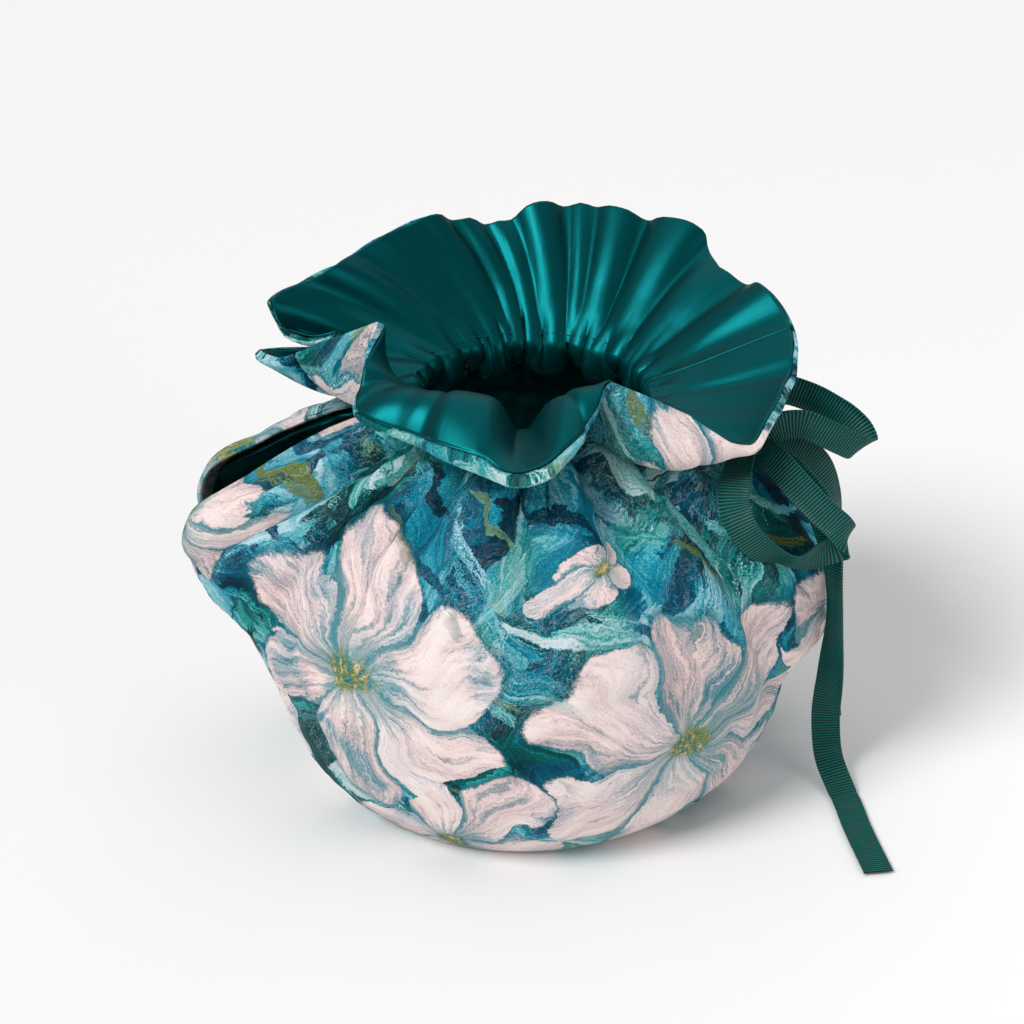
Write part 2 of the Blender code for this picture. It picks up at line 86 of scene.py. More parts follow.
# the cosy's shape: tables in mm and degrees, azimuth 0 at the handle, 180 at the spout, -90 at the front
body = {
    "neckRadius": 40.0,
    "neckTop": 138.5,
    "profile": (  # height, radius
        (132.5, 41), (130.5, 45.5), (127, 51.5), (121.5, 59.5), (114, 68.5), (104, 77), (90, 84.5), (73, 88.5),
        (54, 89.5), (36, 88), (20, 83), (8.5, 75), (2.75, 68), (2.75, 59),
    ),
    "swells": (  # azimuth, height, amount, half width in degrees, half height
        (-115, 8, 2.5, 60, 34),
    ),
    "spoutSide": (  # height, how far it is pushed out, front lip's opening, back lip's opening
        (132.5, 0, 0, 0), (130, 7, 3, 4), (125.5, 15, 8, 8), (112, 23.5, 14.5, 12), (100, 33, 17.5, 14),
        (84, 28.5, 13, 11), (68, 19.5, 5, 6), (56, 11, 0, 0), (45, 5, 0, 0), (34, 1, 0, 0), (24, 0, 0, 0),
    ),
    "handleSide": (
        (132.5, 0, 0, 0), (126, 4, 5, 6), (115, 11, 8.5, 11), (100, 15, 10.5, 14), (86, 17, 11, 14),
        (70, 14, 10.5, 12), (56, 11, 9, 9), (48, 2, 5, 4), (40, 0, 0, 0),
    ),
    "spoutSpread": 23.0,
    "handleSpread": 24.0,
    "lipSpread": 15.0,
    "folds": (  # azimuth, height, to azimuth, to height, depth, half width: the main ones
        (-148, 130, -171, 84, -6.4, 11), (-159, 130, -176, 92, 3.8, 12), (-137, 129, -158, 58, -4.2, 10),
        (-127, 129, -140, 72, 3.8, 10), (-116, 130, -122, 76, -4, 9), (-105, 130, -105, 84, 3.6, 10),
        (-94, 130, -87, 72, -4.2, 9), (-83, 130, -70, 76, 3.8, 10), (-72, 130, -54, 56, -4.8, 10.5),
        (-61, 130, -41, 54, 4.6, 10.5), (-50, 130, -30, 48, -5, 10.5), (-38, 129, -20, 52, 4, 10.5),
        (26, 130, 19, 62, -3, 11), (40, 130, 38, 76, 3, 11), (54, 130, 53, 80, -3.2, 11), (68, 130, 69, 86, 3, 11),
        (82, 130, 84, 72, -3.2, 11), (96, 130, 101, 88, 3, 11), (110, 130, 116, 74, -3.2, 11),
        (124, 130, 129, 84, 3, 11), (138, 129, 152, 70, -3.4, 11), (152, 130, 167, 88, 3, 12),
    ),
    "fineFolds": (  # small sharp ones that only the cloth's surface shows
        (-63, 128, -47, 76, -1.6, 4), (-69, 126, -58, 92, 1.2, 3.5), (-56, 129, -41, 88, 1.4, 3.5),
        (-46, 124, -33, 84, -0.8, 4), (-78, 128, -75, 106, -1.3, 3.2), (-88, 128, -86, 110, 1.3, 3.2),
        (-99, 129, -98, 108, -1.4, 3.2), (-110, 128, -113, 104, 1.2, 3.2), (-122, 128, -129, 104, -1.4, 3.4),
        (-133, 126, -150, 96, 1.2, 3.6), (-143, 127, -163, 92, 1.5, 3.4), (-152, 128, -168, 112, -1.2, 3.2),
        (-170, 78, -150, 62, -1.3, 4), (-172, 70, -146, 44, 1.2, 5), (-12, 60, -34, 40, -1.6, 5),
        (-10, 66, -30, 62, 1.3, 4.5), (-14, 52, -40, 26, 1.2, 5), (-67, 120, -48, 54, -1.7, 3.8),
        (-55, 128, -36, 54, 1.8, 3.6), (-43, 118, -25, 54, -1.6, 3.8), (-79, 127, -65, 66, 1.8, 3.4),
        (-90, 120, -83, 70, -1.2, 3.8), (-101, 127, -98, 80, 1.6, 3.4), (-112, 118, -116, 72, -1, 3.8),
        (-121, 127, -131, 66, 1.8, 3.4), (-133, 118, -150, 58, -1.5, 3.8), (-142, 126, -160, 72, 1.8, 3.4),
        (30, 127, 27, 70, -2, 3.4), (48, 127, 47, 64, 1.8, 3.4), (61, 127, 62, 76, -2, 3.4),
        (77, 127, 79, 68, 1.8, 3.4), (90, 127, 93, 76, -2, 3.4), (104, 127, 110, 66, 1.8, 3.4),
        (118, 127, 125, 70, -2, 3.4), (131, 127, 142, 62, 1.8, 3.4), (145, 127, 160, 72, -2, 3.4),
    ),
    "gathers": {  # small puckers where the channel draws the cloth in, each drawn from these ranges
        "count": 74, "seed": 11, "steps": (0.5, 1.5), "top": 131.5, "reach": (7.0, 26.0), "lean": (-4.0, 4.0),
        "depth": (0.6, 1.5), "halfWidth": (2.0, 3.6),
    },
    "fade": {"folds": 0.75, "fineFolds": 0.5, "gathers": 0.6},  # share of the depth lost at a fold's lower end
    "foldRadius": 80.0,  # mm, to turn degrees round the body into mm
    "fineDepth": 0.7,  # share of the fine folds' depth that is used
    "flatBelow": 12.0,  # no folds under this height, and full depth from here by the next value on
    "flatRise": 30.0,
    "unrest": {"depth": 0.45, "pitch": 26.0, "seed": 3, "from": 6.0, "rise": 20.0},  # slow waves all over
}
frill = {
    "sections": (  # neck azimuth, crest azimuth, crest radius, crest height, edge azimuth, edge radius, edge height
        (-174, -174.5, 63, 140, -174.6, 68, 159.5), (-162.5, -163, 50, 152, -165, 50.5, 168),
        (-150, -150.5, 53, 154, -151.8, 62, 158), (-139, -141, 55, 153, -143.6, 70, 146.5),
        (-127.5, -128, 54, 155, -128.5, 67, 144), (-115.5, -115, 53, 157, -113.7, 71.5, 143.5),
        (-105.5, -104, 52, 155.5, -102.5, 76, 143), (-98, -96, 54, 143.5, -94.1, 80.4, 143),
        (-92, -89.5, 54, 146, -87.6, 80.2, 145), (-84.5, -82, 51, 155, -80.1, 72.8, 148),
        (-74.5, -73.5, 50, 158, -72.2, 62.2, 154), (-66, -64.8, 49, 154, -63.5, 54.8, 162),
        (-58, -57, 61, 140, -56, 58, 158), (-47, -46, 70, 136, -45, 67, 150.5), (-34, -34, 68, 137, -34, 85, 140),
        (-19, -19, 65, 142, -19.5, 86.5, 149), (-4.5, -5, 63, 148, -5.3, 87.8, 158),
        (14.5, 14, 61, 154, 13.6, 81.7, 168), (29.5, 30, 58, 156, 30.5, 77.5, 166),
        (42, 42, 59, 160, 41.8, 80.1, 178), (55, 55.5, 58, 160, 56.4, 77.2, 178),
        (71.5, 74, 57, 161, 76.4, 76.2, 180), (81, 84, 56, 161, 87.2, 72.5, 180),
        (91.5, 95.5, 55, 160, 99.8, 69, 175), (108.5, 115, 55, 161, 121.9, 68.8, 180),
        (115.5, 123, 56, 160, 130.8, 70.5, 178), (131.5, 141, 58, 157, 150.2, 74.4, 172),
        (144, 153.5, 62, 153, 163, 81.6, 168), (151, 160, 66, 151, 170.5, 90, 165),
        (155.5, 162, 66.5, 147, 169.9, 86.5, 154.5), (159, 164, 63, 145, 169.5, 77, 151.5),
        (162.5, 167, 58.5, 146, 169.6, 67.5, 154.5), (166.5, 171, 57.5, 143.5, 174, 72, 151),
        (170.5, 175, 63, 140.5, 179.5, 92, 152.5), (176, 179.5, 66, 139, -176.9, 86, 152),
    ),
    # neck azimuth, then at the edge its shift, depth and half width: + is a trough in the satin
    "pleats": (
        (38, 0, 3.6, 7), (54.5, 1.5, 3.6, 5), (66, 2, 2.2, 4), (72.5, 2.5, 3.6, 4.8), (85, 3, 2.6, 4.2),
        (92, 3, 3, 4.2), (99, 4, 3.2, 4.6), (112, 4, 1.2, 6), (124, 4, 2.4, 8), (140, 4, 2.4, 8), (21, 0, 2.6, 6),
        (5, 0, 1.4, 8), (46.5, 1, -1.6, 8), (60.5, 2, -1.4, 6), (79, 3, -2, 7), (106, 4, -1.4, 8),
        (132, 4, -1.4, 9), (30, 0, -1.2, 8), (13, 0, -1, 9), (-12, 0, 1.4, 5), (-27, 0, -1.2, 7), (-41, 0, 1.4, 5),
        (-104, 1, 1.4, 5), (-121, -1, 1.6, 5), (-133, -2, -1.2, 6), (-144, -2, 1.6, 4.5), (-80, 1, 1.2, 4),
    ),
    "liningEdge": (  # azimuth, share of the frill's width that the satin covers
        (-178, 0.97), (-160, 0.965), (-140, 0.945), (-95, 0.93), (-65, 0.95), (-40, 0.965), (-5, 0.98), (30, 0.99),
        (150, 0.99),
    ),
    "puckers": {  # small gathers above the channel, which run out up the frill
        "count": 62, "seed": 5, "steps": (0.45, 1.55), "reach": (0.14, 0.26), "depth": (0.4, 1.0),
        "halfWidth": (1.7, 3.0), "lean": (-3.0, 3.0),
        "longer": 0.20,  # some reach up to this much further, but none by the handle
        "handle": 45.0,
        "wider": 0.8,
        "start": 0.03,
        "radius": 42.0,  # mm, to turn degrees round the frill into mm
    },
    "pleatRadius": 60.0,
    "pleatAtNeck": 0.55,  # share of a pleat's width that is left at the neck
    "pleatRise": 0.8,
}
panel = {
    "print": 2.4,  # thickness of the printed cloth with its padding
    "lining": 1.0,
    "gap": 0.5,
    "seam": 0.12,  # between front and back
    "hang": 1.4,  # how far the lining hangs inside the print in the body
    "lipSetback": 1.2,  # degrees by which the lining stands back at the slits
    "rolled": 4.0,  # cloth that the frill's rounded edge takes up
    "edgeRound": 1.6,  # how far from an edge the padding starts to round off
    "frontColumns": 250,
    "backColumns": 200,
    "frillRows": 46,
    "bodyRows": 118,
    "fine": {"columns": 0.62, "frill": 0.55, "body": 0.5},  # how much closer rows and columns lie at the ends
    "flatRadius": 88.0,  # the flat cloth's width over its angle
    "ownLength": 0.35,  # how far the print follows each column's own length
    "proud": 1.7,  # how far the rolled edge of the frill stands over the satin
    "proudRise": 0.35,  # share of the roll in which it gets there
    "rolledReach": (30.0, 20.0),  # mm from the edge where the print's shift ends, and over which it fades
    "liningEnd": 0.86,  # share of the body that the lining covers
    "hemLeast": 0.25,  # thickness that the turned-under hem keeps on the table
    "clear": 0.25,  # between print and lining
    "neckClear": 1.2,  # more of it by the neck, and how far that reaches up the frill and down the body
    "neckReach": 0.4,
    "hangReach": 0.1,
    "lipFade": 40.0,  # how fast the lining's setback at the slits fades from the seam
    "slit": (0.42, 0.34),  # middle and half length of the slits, as shares of the body
    "liningRound": 0.8,
}
settle = {  # the cloth simulation of each panel
    "scale": 0.01,  # Blender units for a millimetre, because the solver is steadier on a large sheet
    "step": 2,
    "frames": 18,
    "slack": 0.044,  # share by which the cloth is wider than its place
    "gathered": 0.10,  # and more of it by the neck
    "reach": 24.0,
    "hold": 0.34,  # how strongly the cloth keeps to its place, in the body and in the frill
    "frillHold": 0.60,
    "frillEvened": 8,  # satin shows every small wave, so only the broad ones stay
    "bodyEvened": 1,
    "bending": 1.6,
    "cap": 5.0,  # bends a long move back towards this length
    "seamHold": 7.0,  # mm over which a seam's hold fades, in the body and in the frill
    "frillSeamHold": 60.0,
    "edgeHold": 9.0,
    "hemHeight": 7.0,  # everything lower stands still
    "solver": {"quality": 6, "mass": 0.3, "tension_stiffness": 12.0, "compression_stiffness": 12.0,
               "shear_stiffness": 4.0, "air_damping": 4.0, "pin_stiffness": 1.0},
}


def turned(angle):
    return (angle + 180.0) % 360.0 - 180.0


def unit(x):
    return np.clip(x, 0.0, 1.0)


def hump(x):
    return unit(1.0 - x * x) ** 2


def lengthAlong(points, axis):  # of the cloth, from its first row or column on
    steps = np.linalg.norm(np.diff(points, axis=axis), axis=-1)
    return np.insert(np.cumsum(steps, axis=axis), 0, 0.0, axis=axis)


def edgeDistance(points, axis):  # along the cloth, to the nearer of two opposite edges
    run = lengthAlong(points, axis)
    return np.minimum(run, run.take([-1], axis=axis) - run)


def hermite(t, step, low, high, lowSlope, highSlope):
    return (
        (2 * t**3 - 3 * t**2 + 1) * low
        + (t**3 - 2 * t**2 + t) * step * lowSlope
        + (-2 * t**3 + 3 * t**2) * high
        + (t**3 - t**2) * step * highSlope
    )


def smoothCurve(knownX, knownY, x):  # a monotone cubic through known points
    step = np.diff(knownX)
    slope = np.diff(knownY) / step
    sameWay = slope[1:] * slope[:-1] > 0
    total = np.where(sameWay, slope[1:] + slope[:-1], 1.0)
    inner = np.where(sameWay, 2.0 * slope[1:] * slope[:-1] / total, 0.0)
    tangent = np.concatenate([slope[:1], inner, slope[-1:]])
    index = np.clip(np.searchsorted(knownX, x, side="right") - 1, 0, len(step) - 1)
    t = (x - knownX[index]) / step[index]
    return hermite(t, step[index], knownY[index], knownY[index + 1], tangent[index], tangent[index + 1])


def smoothThrough(known, values, wanted):  # a Catmull-Rom spline through rows of points
    tangent = np.gradient(values, known, axis=0)
    index = np.clip(np.searchsorted(known, wanted, side="right") - 1, 0, len(known) - 2)
    step = (known[index + 1] - known[index]).reshape(-1, *[1] * (values.ndim - 1))
    t = (wanted - known[index]).reshape(step.shape) / step
    return hermite(t, step, values[index], values[index + 1], tangent[index], tangent[index + 1])


def aroundTable(table, column, azimuth):
    rows = np.array(table, float)
    rows = rows[np.argsort(rows[:, 0])]
    lap = np.concatenate([rows[-3:, 0] - 360.0, rows[:, 0], rows[:3, 0] + 360.0])
    values = np.concatenate([rows[-3:, column], rows[:, column], rows[:3, column]])
    return smoothCurve(lap, values, azimuth)


def frillPoints(azimuth, t):
    azimuth, t = np.broadcast_arrays(azimuth, t)
    lap = np.array(frill["sections"], float)
    lap[:, 1] = turned(lap[:, 1] - lap[:, 0])
    lap[:, 4] = turned(lap[:, 4] - lap[:, 0])
    atNeck, atCrest, atEdge = (1 - t) * (1 - 2 * t), 4 * t * (1 - t), t * (2 * t - 1)
    shift = atCrest * aroundTable(lap, 1, azimuth) + atEdge * aroundTable(lap, 4, azimuth)
    radius, height = (
        atNeck * neck + atCrest * aroundTable(lap, column, azimuth) + atEdge * aroundTable(lap, column + 3, azimuth)
        for column, neck in ((2, body["neckRadius"]), (3, body["neckTop"]))
    )
    return azimuth + shift, radius, height


def sideShape(azimuth, height, column):
    away = turned(azimuth)
    byHandle = np.abs(away) < 90.0
    tables = (np.array(body[key], float)[::-1] for key in ("handleSide", "spoutSide"))
    values = [smoothCurve(rows[:, 0], rows[:, column], np.maximum(height, rows[0, 0])) for rows in tables]
    return np.where(byHandle, *values), byHandle, np.where(byHandle, away, turned(azimuth - 180.0))


def bodyPoints(azimuth, t):
    azimuth, t = np.broadcast_arrays(azimuth, t)
    height, radius = np.array(body["profile"], float).T
    along = np.concatenate([[0.0], np.cumsum(np.hypot(np.diff(height), np.diff(radius)))])
    along /= along[-1]
    z = smoothCurve(along, height, t)
    r = smoothCurve(along, radius, t)
    push, byHandle, away = sideShape(azimuth, z, 1)
    r = r + push * np.exp(-((away / np.where(byHandle, body["handleSpread"], body["spoutSpread"])) ** 2))
    for centre, level, amount, halfAngle, halfHeight in body["swells"]:
        r = r + amount * hump(turned(azimuth - centre) / halfAngle) * hump((z - level) / halfHeight)
    return azimuth, r, z


def lipOpening(azimuth, height, side):
    drawn, _, away = sideShape(azimuth, height, 2 if side < 0 else 3)
    return side * drawn * np.exp(-((away / body["lipSpread"]) ** 2))


def foldRelief(azimuth, height, folds, fade):
    across = math.radians(1.0) * body["foldRadius"]
    relief = np.zeros_like(azimuth)
    for az0, z0, az1, z1, depth, halfWidth in folds:
        run = np.array([(az1 - az0) * across, z1 - z0])
        x = turned(azimuth - az0) * across
        y = height - z0
        t = unit((x * run[0] + y * run[1]) / (run @ run))
        away = np.hypot(x - t * run[0], y - t * run[1])
        relief += depth * (1.0 - fade * t) * hump(away / halfWidth)
    return relief * unit((height - body["flatBelow"]) / body["flatRise"])


def unevenSteps(dice, made):  # azimuths all round
    steps = dice.uniform(*made["steps"], made["count"])
    return -180.0 + 360.0 * np.cumsum(steps) / steps.sum()


def gatherFolds(made):
    dice = np.random.default_rng(made["seed"])
    rows = []
    for number, start in enumerate(unevenSteps(dice, made)):
        low = made["top"] - dice.uniform(*made["reach"])
        lean = dice.uniform(*made["lean"])
        depth = dice.uniform(*made["depth"]) * (1.0 if number % 2 else -1.0)
        rows.append((start, made["top"], start + lean, low, depth, dice.uniform(*made["halfWidth"])))
    return rows


def pleatRelief(azimuth, t):
    across = math.radians(1.0) * frill["pleatRadius"]
    azimuth, t = np.broadcast_arrays(azimuth, t)
    relief = np.zeros_like(azimuth)
    atNeck = frill["pleatAtNeck"]
    for centre, shift, depth, halfWidth in frill["pleats"]:
        width = halfWidth * (atNeck + (1.0 - atNeck) * t)
        away = turned(azimuth - centre - shift * t) * across / width
        relief += depth * t ** frill["pleatRise"] * hump(away)
    return relief


def puckerRelief(azimuth, t):
    made = frill["puckers"]
    dice = np.random.default_rng(made["seed"])
    azimuth, t = np.broadcast_arrays(azimuth, t)
    relief = np.zeros_like(azimuth)
    for number, centre in enumerate(unevenSteps(dice, made)):
        reach = dice.uniform(*made["reach"])
        reach += made["longer"] * dice.uniform(0.0, 1.0) ** 3 * (abs(turned(centre)) > made["handle"])
        depth = dice.uniform(*made["depth"]) * (1.0 if number % 2 else -1.0)
        width = dice.uniform(*made["halfWidth"]) * (1.0 + made["wider"] * t)
        lean = dice.uniform(*made["lean"])
        away = turned(azimuth - centre - lean * t) * math.radians(1.0) * made["radius"] / width
        relief += depth * hump(away) * hump(unit((t - made["start"]) / reach))
    return relief


def softNoise(u, v, seed, scale):  # smooth random waves over the cloth, in mm
    dice = np.random.default_rng(seed)
    total = np.zeros_like(u)
    for _ in range(9):
        turn = dice.uniform(0.0, 2.0 * math.pi)
        pitch = scale * dice.uniform(0.7, 1.6)
        phase = dice.uniform(0.0, 2.0 * math.pi)
        total += np.sin((u * math.cos(turn) + v * math.sin(turn)) * 2.0 * math.pi / pitch + phase)
    return total / 9.0


def surfaceNormals(points):
    across = np.gradient(points, axis=1)
    down = np.gradient(points, axis=0)
    normals = np.cross(down, across)
    normals[:, [0, -1], 1] = 0.0
    return normals / np.maximum(np.linalg.norm(normals, axis=2, keepdims=True), 1e-9)


def panelSurface(side, azimuth, frillT, bodyT):  # the sheet between the print and its lining
    neck = len(frillT)
    neckAz = azimuth[:neck]
    upper = frillPoints(neckAz, frillT)
    lower = bodyPoints(azimuth[neck:], bodyT)
    az, radius, height = (np.concatenate(pair, axis=0) for pair in zip(upper, lower))
    x = radius * np.cos(np.radians(az))
    y = radius * np.sin(np.radians(az))
    place = (az[neck:], height[neck:])
    y[neck:] += lipOpening(*place, side)
    y += side * panel["seam"] / 2
    points = np.stack([x, y, height], axis=2)
    relief = np.zeros_like(x)
    relief[:neck] = pleatRelief(neckAz, frillT) + puckerRelief(neckAz, frillT)
    fade = body["fade"]
    relief[neck:] = (
        foldRelief(*place, body["folds"], fade["folds"])
        + foldRelief(*place, body["fineFolds"], fade["fineFolds"]) * body["fineDepth"]
        + foldRelief(*place, gatherFolds(body["gathers"]), fade["gathers"])
    )
    unrest = body["unrest"]
    calm = unit((height - unrest["from"]) / unrest["rise"])
    waves = softNoise(np.radians(az) * body["foldRadius"], height, unrest["seed"], unrest["pitch"])
    relief += calm * unrest["depth"] * waves
    return points + surfaceNormals(points) * relief[..., None]


def evened(field, passes):  # takes the smallest waves out, and leaves the border as it is
    for _ in range(passes):
        inner = field.copy()
        inner[1:-1] = field[1:-1] * 0.5 + (field[:-2] + field[2:]) * 0.25
        field = inner.copy()
        field[:, 1:-1] = inner[:, 1:-1] * 0.5 + (inner[:, :-2] + inner[:, 2:]) * 0.25
    return field


# how the drawn-in cloth buckles: it has more width than its place, and is held at neck, seams and hem
def settledCloth(surface, frillRows):
    keepRows, keepColumns = [frillRows - 1, frillRows, len(surface) - 1], [surface.shape[1] - 1]
    rows, columns = (
        np.unique(np.concatenate([np.arange(0, count, settle["step"]), keep]))
        for count, keep in zip(surface.shape[:2], (keepRows, keepColumns))
    )
    points = surface[np.ix_(rows, columns)]
    along = lengthAlong(points, 0)
    neck = np.searchsorted(rows, frillRows)
    fromNeck = np.abs(along - along[neck])
    fuller = np.exp(-fromNeck / settle["reach"])
    hold = np.full(points.shape[:2], settle["hold"])
    fromSeam = edgeDistance(points, 1)
    hold = np.maximum(hold, np.exp(-fromSeam / settle["seamHold"]))
    hold[:neck] = np.maximum(settle["frillHold"], np.exp(-fromSeam[:neck] / settle["frillSeamHold"]))
    hold = np.maximum(hold, np.exp(-along / settle["edgeHold"]))
    hold[:, [0, -1]] = 1.0
    hold[neck - 1 : neck + 1] = 1.0
    hold[points[..., 2] < settle["hemHeight"]] = 1.0
    mesh = bmesh.new()
    bmesh.ops.create_grid(mesh, x_segments=len(columns) - 1, y_segments=len(rows) - 1, size=0.5)
    lastRow, lastColumn = len(rows) - 1, len(columns) - 1
    place = np.array([(round((0.5 - v.co.y) * lastRow), round((v.co.x + 0.5) * lastColumn)) for v in mesh.verts])
    for vertex, (row, column) in zip(mesh.verts, place):
        vertex.co = points[row, column] * settle["scale"]
    sheet = pieceFrom(mesh, "settling")
    held, full = sheet.vertex_groups.new(name="held"), sheet.vertex_groups.new(name="full")
    for index, (row, column) in enumerate(place):
        held.add([index], float(hold[row, column]), "REPLACE")
        full.add([index], float(fuller[row, column]), "REPLACE")
    modifier = sheet.modifiers.new("cloth", "CLOTH")
    for setting, value in settle["solver"].items():
        setattr(modifier.settings, setting, value)
    modifier.settings.bending_stiffness = settle["bending"]
    modifier.settings.vertex_group_mass = "held"
    modifier.settings.vertex_group_shrink = "full"
    modifier.settings.shrink_min = -settle["slack"]
    modifier.settings.shrink_max = -settle["gathered"]
    modifier.settings.effector_weights.gravity = 0.0
    modifier.collision_settings.use_collision = False
    for moment in range(1, settle["frames"] + 1):
        scene.frame_set(moment)
    result = sheet.evaluated_get(bpy.context.evaluated_depsgraph_get()).data
    settled = np.zeros(len(place) * 3)
    result.vertices.foreach_get("co", settled)
    field = np.zeros_like(points)
    field[place[:, 0], place[:, 1]] = settled.reshape(-1, 3) / settle["scale"]
    field -= points
    bpy.data.objects.remove(sheet)
    scene.frame_set(1)
    size = np.linalg.norm(field, axis=2, keepdims=True)
    field /= 1.0 + size / settle["cap"]
    field[:neck] = evened(field[:neck], settle["frillEvened"])
    field[neck:] = evened(field[neck:], settle["bodyEvened"])
    print(f"cloth has settled: it moved {size.mean():.2f} mm on average, {size.max():.1f} at most")
    for axis, known in enumerate((rows, columns)):
        field = smoothThrough(known.astype(float), field, np.arange(surface.shape[axis], dtype=float)).swapaxes(0, 1)
    return field


def spread(count, low, high, fine):  # count steps from low to high, closer together at both ends
    s = np.linspace(0.0, 1.0, count + 1)
    s = s - fine * np.sin(2.0 * math.pi * s) / (2.0 * math.pi)
    return low + (high - low) * s


def clothUv(points, azimuth, offset):  # the flat panel: along the girth at the body's width, and up from the hem
    up = lengthAlong(points[::-1], 0)[::-1]
    up = up * panel["ownLength"] + up.mean(axis=1, keepdims=True) * (1.0 - panel["ownLength"])
    return np.stack([np.radians(azimuth) * panel["flatRadius"] * mm + offset, up * mm], axis=2)


def clothShell(name, outside, inside, uv, material, innerUv=None):  # a flat grid, extruded once, laid on two surfaces
    rows, columns = outside.shape[0] - 1, outside.shape[1] - 1
    mesh = bmesh.new()
    bmesh.ops.create_grid(mesh, x_segments=columns, y_segments=rows, size=0.5)
    inner = set(mesh.verts)
    bmesh.ops.extrude_face_region(mesh, geom=mesh.faces[:], use_keep_orig=True)
    place = np.zeros((len(mesh.verts), 2), int)
    isInner = np.zeros(len(mesh.verts), bool)
    mesh.verts.index_update()
    for vertex in mesh.verts:
        column = round((vertex.co.x + 0.5) * columns)
        row = round((0.5 - vertex.co.y) * rows)
        place[vertex.index] = row, column
        isInner[vertex.index] = vertex in inner
        surface = inside if vertex in inner else outside
        vertex.co = (surface[row, column] + rowShift) * mm
    bmesh.ops.recalc_face_normals(mesh, faces=mesh.faces[:])
    if mesh.calc_volume(signed=True) < 0:
        bmesh.ops.reverse_faces(mesh, faces=mesh.faces[:])
    piece = pieceFrom(mesh, name, material)
    data = piece.data
    corner = np.zeros(len(data.loops), int)
    data.loops.foreach_get("vertex_index", corner)
    layer = data.uv_layers.new(name="cloth")
    flat = uv[place[:, 0], place[:, 1]]
    if innerUv is not None:
        flat[isInner] = innerUv[place[isInner, 0], place[isInner, 1]]
    layer.data.foreach_set("uv", flat[corner].astype(np.float32).ravel())
    return piece


def edgeRounding(points, width, seams=True):  # 1 inside the cloth, falling to 0 at its edges like a quarter round
    near = np.minimum(edgeDistance(points, 1) * (1.0 if seams else 1000.0), edgeDistance(points, 0))
    return np.sqrt(unit(1.0 - unit(1.0 - near / width) ** 2))


def addPanel(side, name, columnCount, offset, printed, satin, thread):
    start = -180.0 if side < 0 else 0.0
    fine = panel["fine"]
    columns = spread(columnCount, start, start + 180.0, fine["columns"])[None, :]
    frillT = spread(panel["frillRows"], 1.0, 0.0, fine["frill"])[:, None]
    bodyT = spread(panel["bodyRows"], 0.0, 1.0, fine["body"])[:, None]
    neck = len(frillT)
    azimuth = np.broadcast_to(columns, (neck + len(bodyT), columnCount + 1))
    surface = panelSurface(side, azimuth, frillT, bodyT)
    settled = settledCloth(surface, neck)
    surface += settled
    normals = surfaceNormals(surface)
    middle = panel["gap"] / 2 + panel["print"] / 2
    swell = np.full(surface.shape[:2], panel["print"] / 2)
    inward = np.zeros(surface.shape[:2])
    # the print is rolled over the frill's edge: it stands proud of the satin there
    satinEdge = aroundTable(frill["liningEdge"], 1, columns[0])[None, :]
    roll = unit((frillT - satinEdge) / (1.0 - satinEdge))
    inward[:neck] = panel["proud"] * np.sqrt(unit(roll / panel["proudRise"])) * (roll > 0)
    rounding = edgeRounding(surface, panel["edgeRound"])
    outside = surface + normals * (middle + swell * rounding)[..., None]
    inside = surface + normals * (middle - (swell + inward) * rounding)[..., None]
    outside[..., 2] = np.maximum(outside[..., 2], 0.0)
    inside[..., 2] = np.maximum(inside[..., 2], panel["hemLeast"])
    uv = clothUv(surface, azimuth, offset)
    overEdge = uv.copy()  # the print runs on over the frill's edge
    fromEdge = uv[:1, :, 1] - uv[..., 1]
    rolledEnd, rolledFade = (reach * mm for reach in panel["rolledReach"])
    share = unit((rolledEnd - fromEdge) / rolledFade)
    overEdge[..., 1] += (panel["rolled"] * mm + 2.0 * fromEdge) * share
    cover = clothShell(f"cover{name}", outside, inside, uv, printed, overEdge)
    below = neck + int(np.argmin(np.abs(bodyT - sewing["belowChannel"])))
    stitches = [stitchRow(f"stitchesUnder{name}", outside[below], normals[below], thread)]
    # the lining follows inside: it ends short of the frill's edge and of the hem
    liningT = frillT * satinEdge
    bodyT = bodyT[bodyT[:, 0] <= panel["liningEnd"]]
    follow = settled[: neck + len(bodyT)].copy()
    for column in range(columnCount + 1):
        for axis in range(3):
            moved = settled[:neck, column, axis][::-1]
            follow[:neck, column, axis] = np.interp(liningT[:, column], frillT[::-1, 0], moved)
    inSlit = hump((bodyT - panel["slit"][0]) / panel["slit"][1]) ** 0.25
    azimuth = np.broadcast_to(columns, (neck + len(bodyT), columnCount + 1)).copy()
    fromStart, fromEnd = (columns - start) / 180.0, (start + 180.0 - columns) / 180.0
    azimuth[neck:] += panel["lipSetback"] * inSlit * (
        np.exp(-fromStart * panel["lipFade"]) - np.exp(-fromEnd * panel["lipFade"])
    )
    surface = panelSurface(side, azimuth, liningT, bodyT) + follow
    normals = surfaceNormals(surface)
    hang = np.full((len(surface), 1), panel["clear"])
    neckClear = panel["neckClear"]  # clear of the puckers at the neck
    hang[:neck] += neckClear * unit(1.0 - frillT / panel["neckReach"])
    hang[neck:] += neckClear + (panel["hang"] - neckClear) * unit(bodyT / panel["hangReach"])
    rounding = edgeRounding(surface, panel["liningRound"])
    rounding[:neck] = edgeRounding(surface, panel["liningRound"], seams=False)[:neck]
    middle = panel["gap"] / 2 + hang + panel["lining"] / 2
    outside = surface - normals * (middle - panel["lining"] / 2 * rounding)[..., None]
    inside = surface - normals * (middle + panel["lining"] / 2 * rounding)[..., None]
    lining = clothShell(f"lining{name}", outside, inside, clothUv(surface, azimuth, offset), satin)
    above = int(np.argmin(np.abs(frillT - sewing["aboveChannel"])))
    stitches.append(stitchRow(f"stitchesAbove{name}", inside[above], -normals[above], thread))
    return cover, lining, stitches


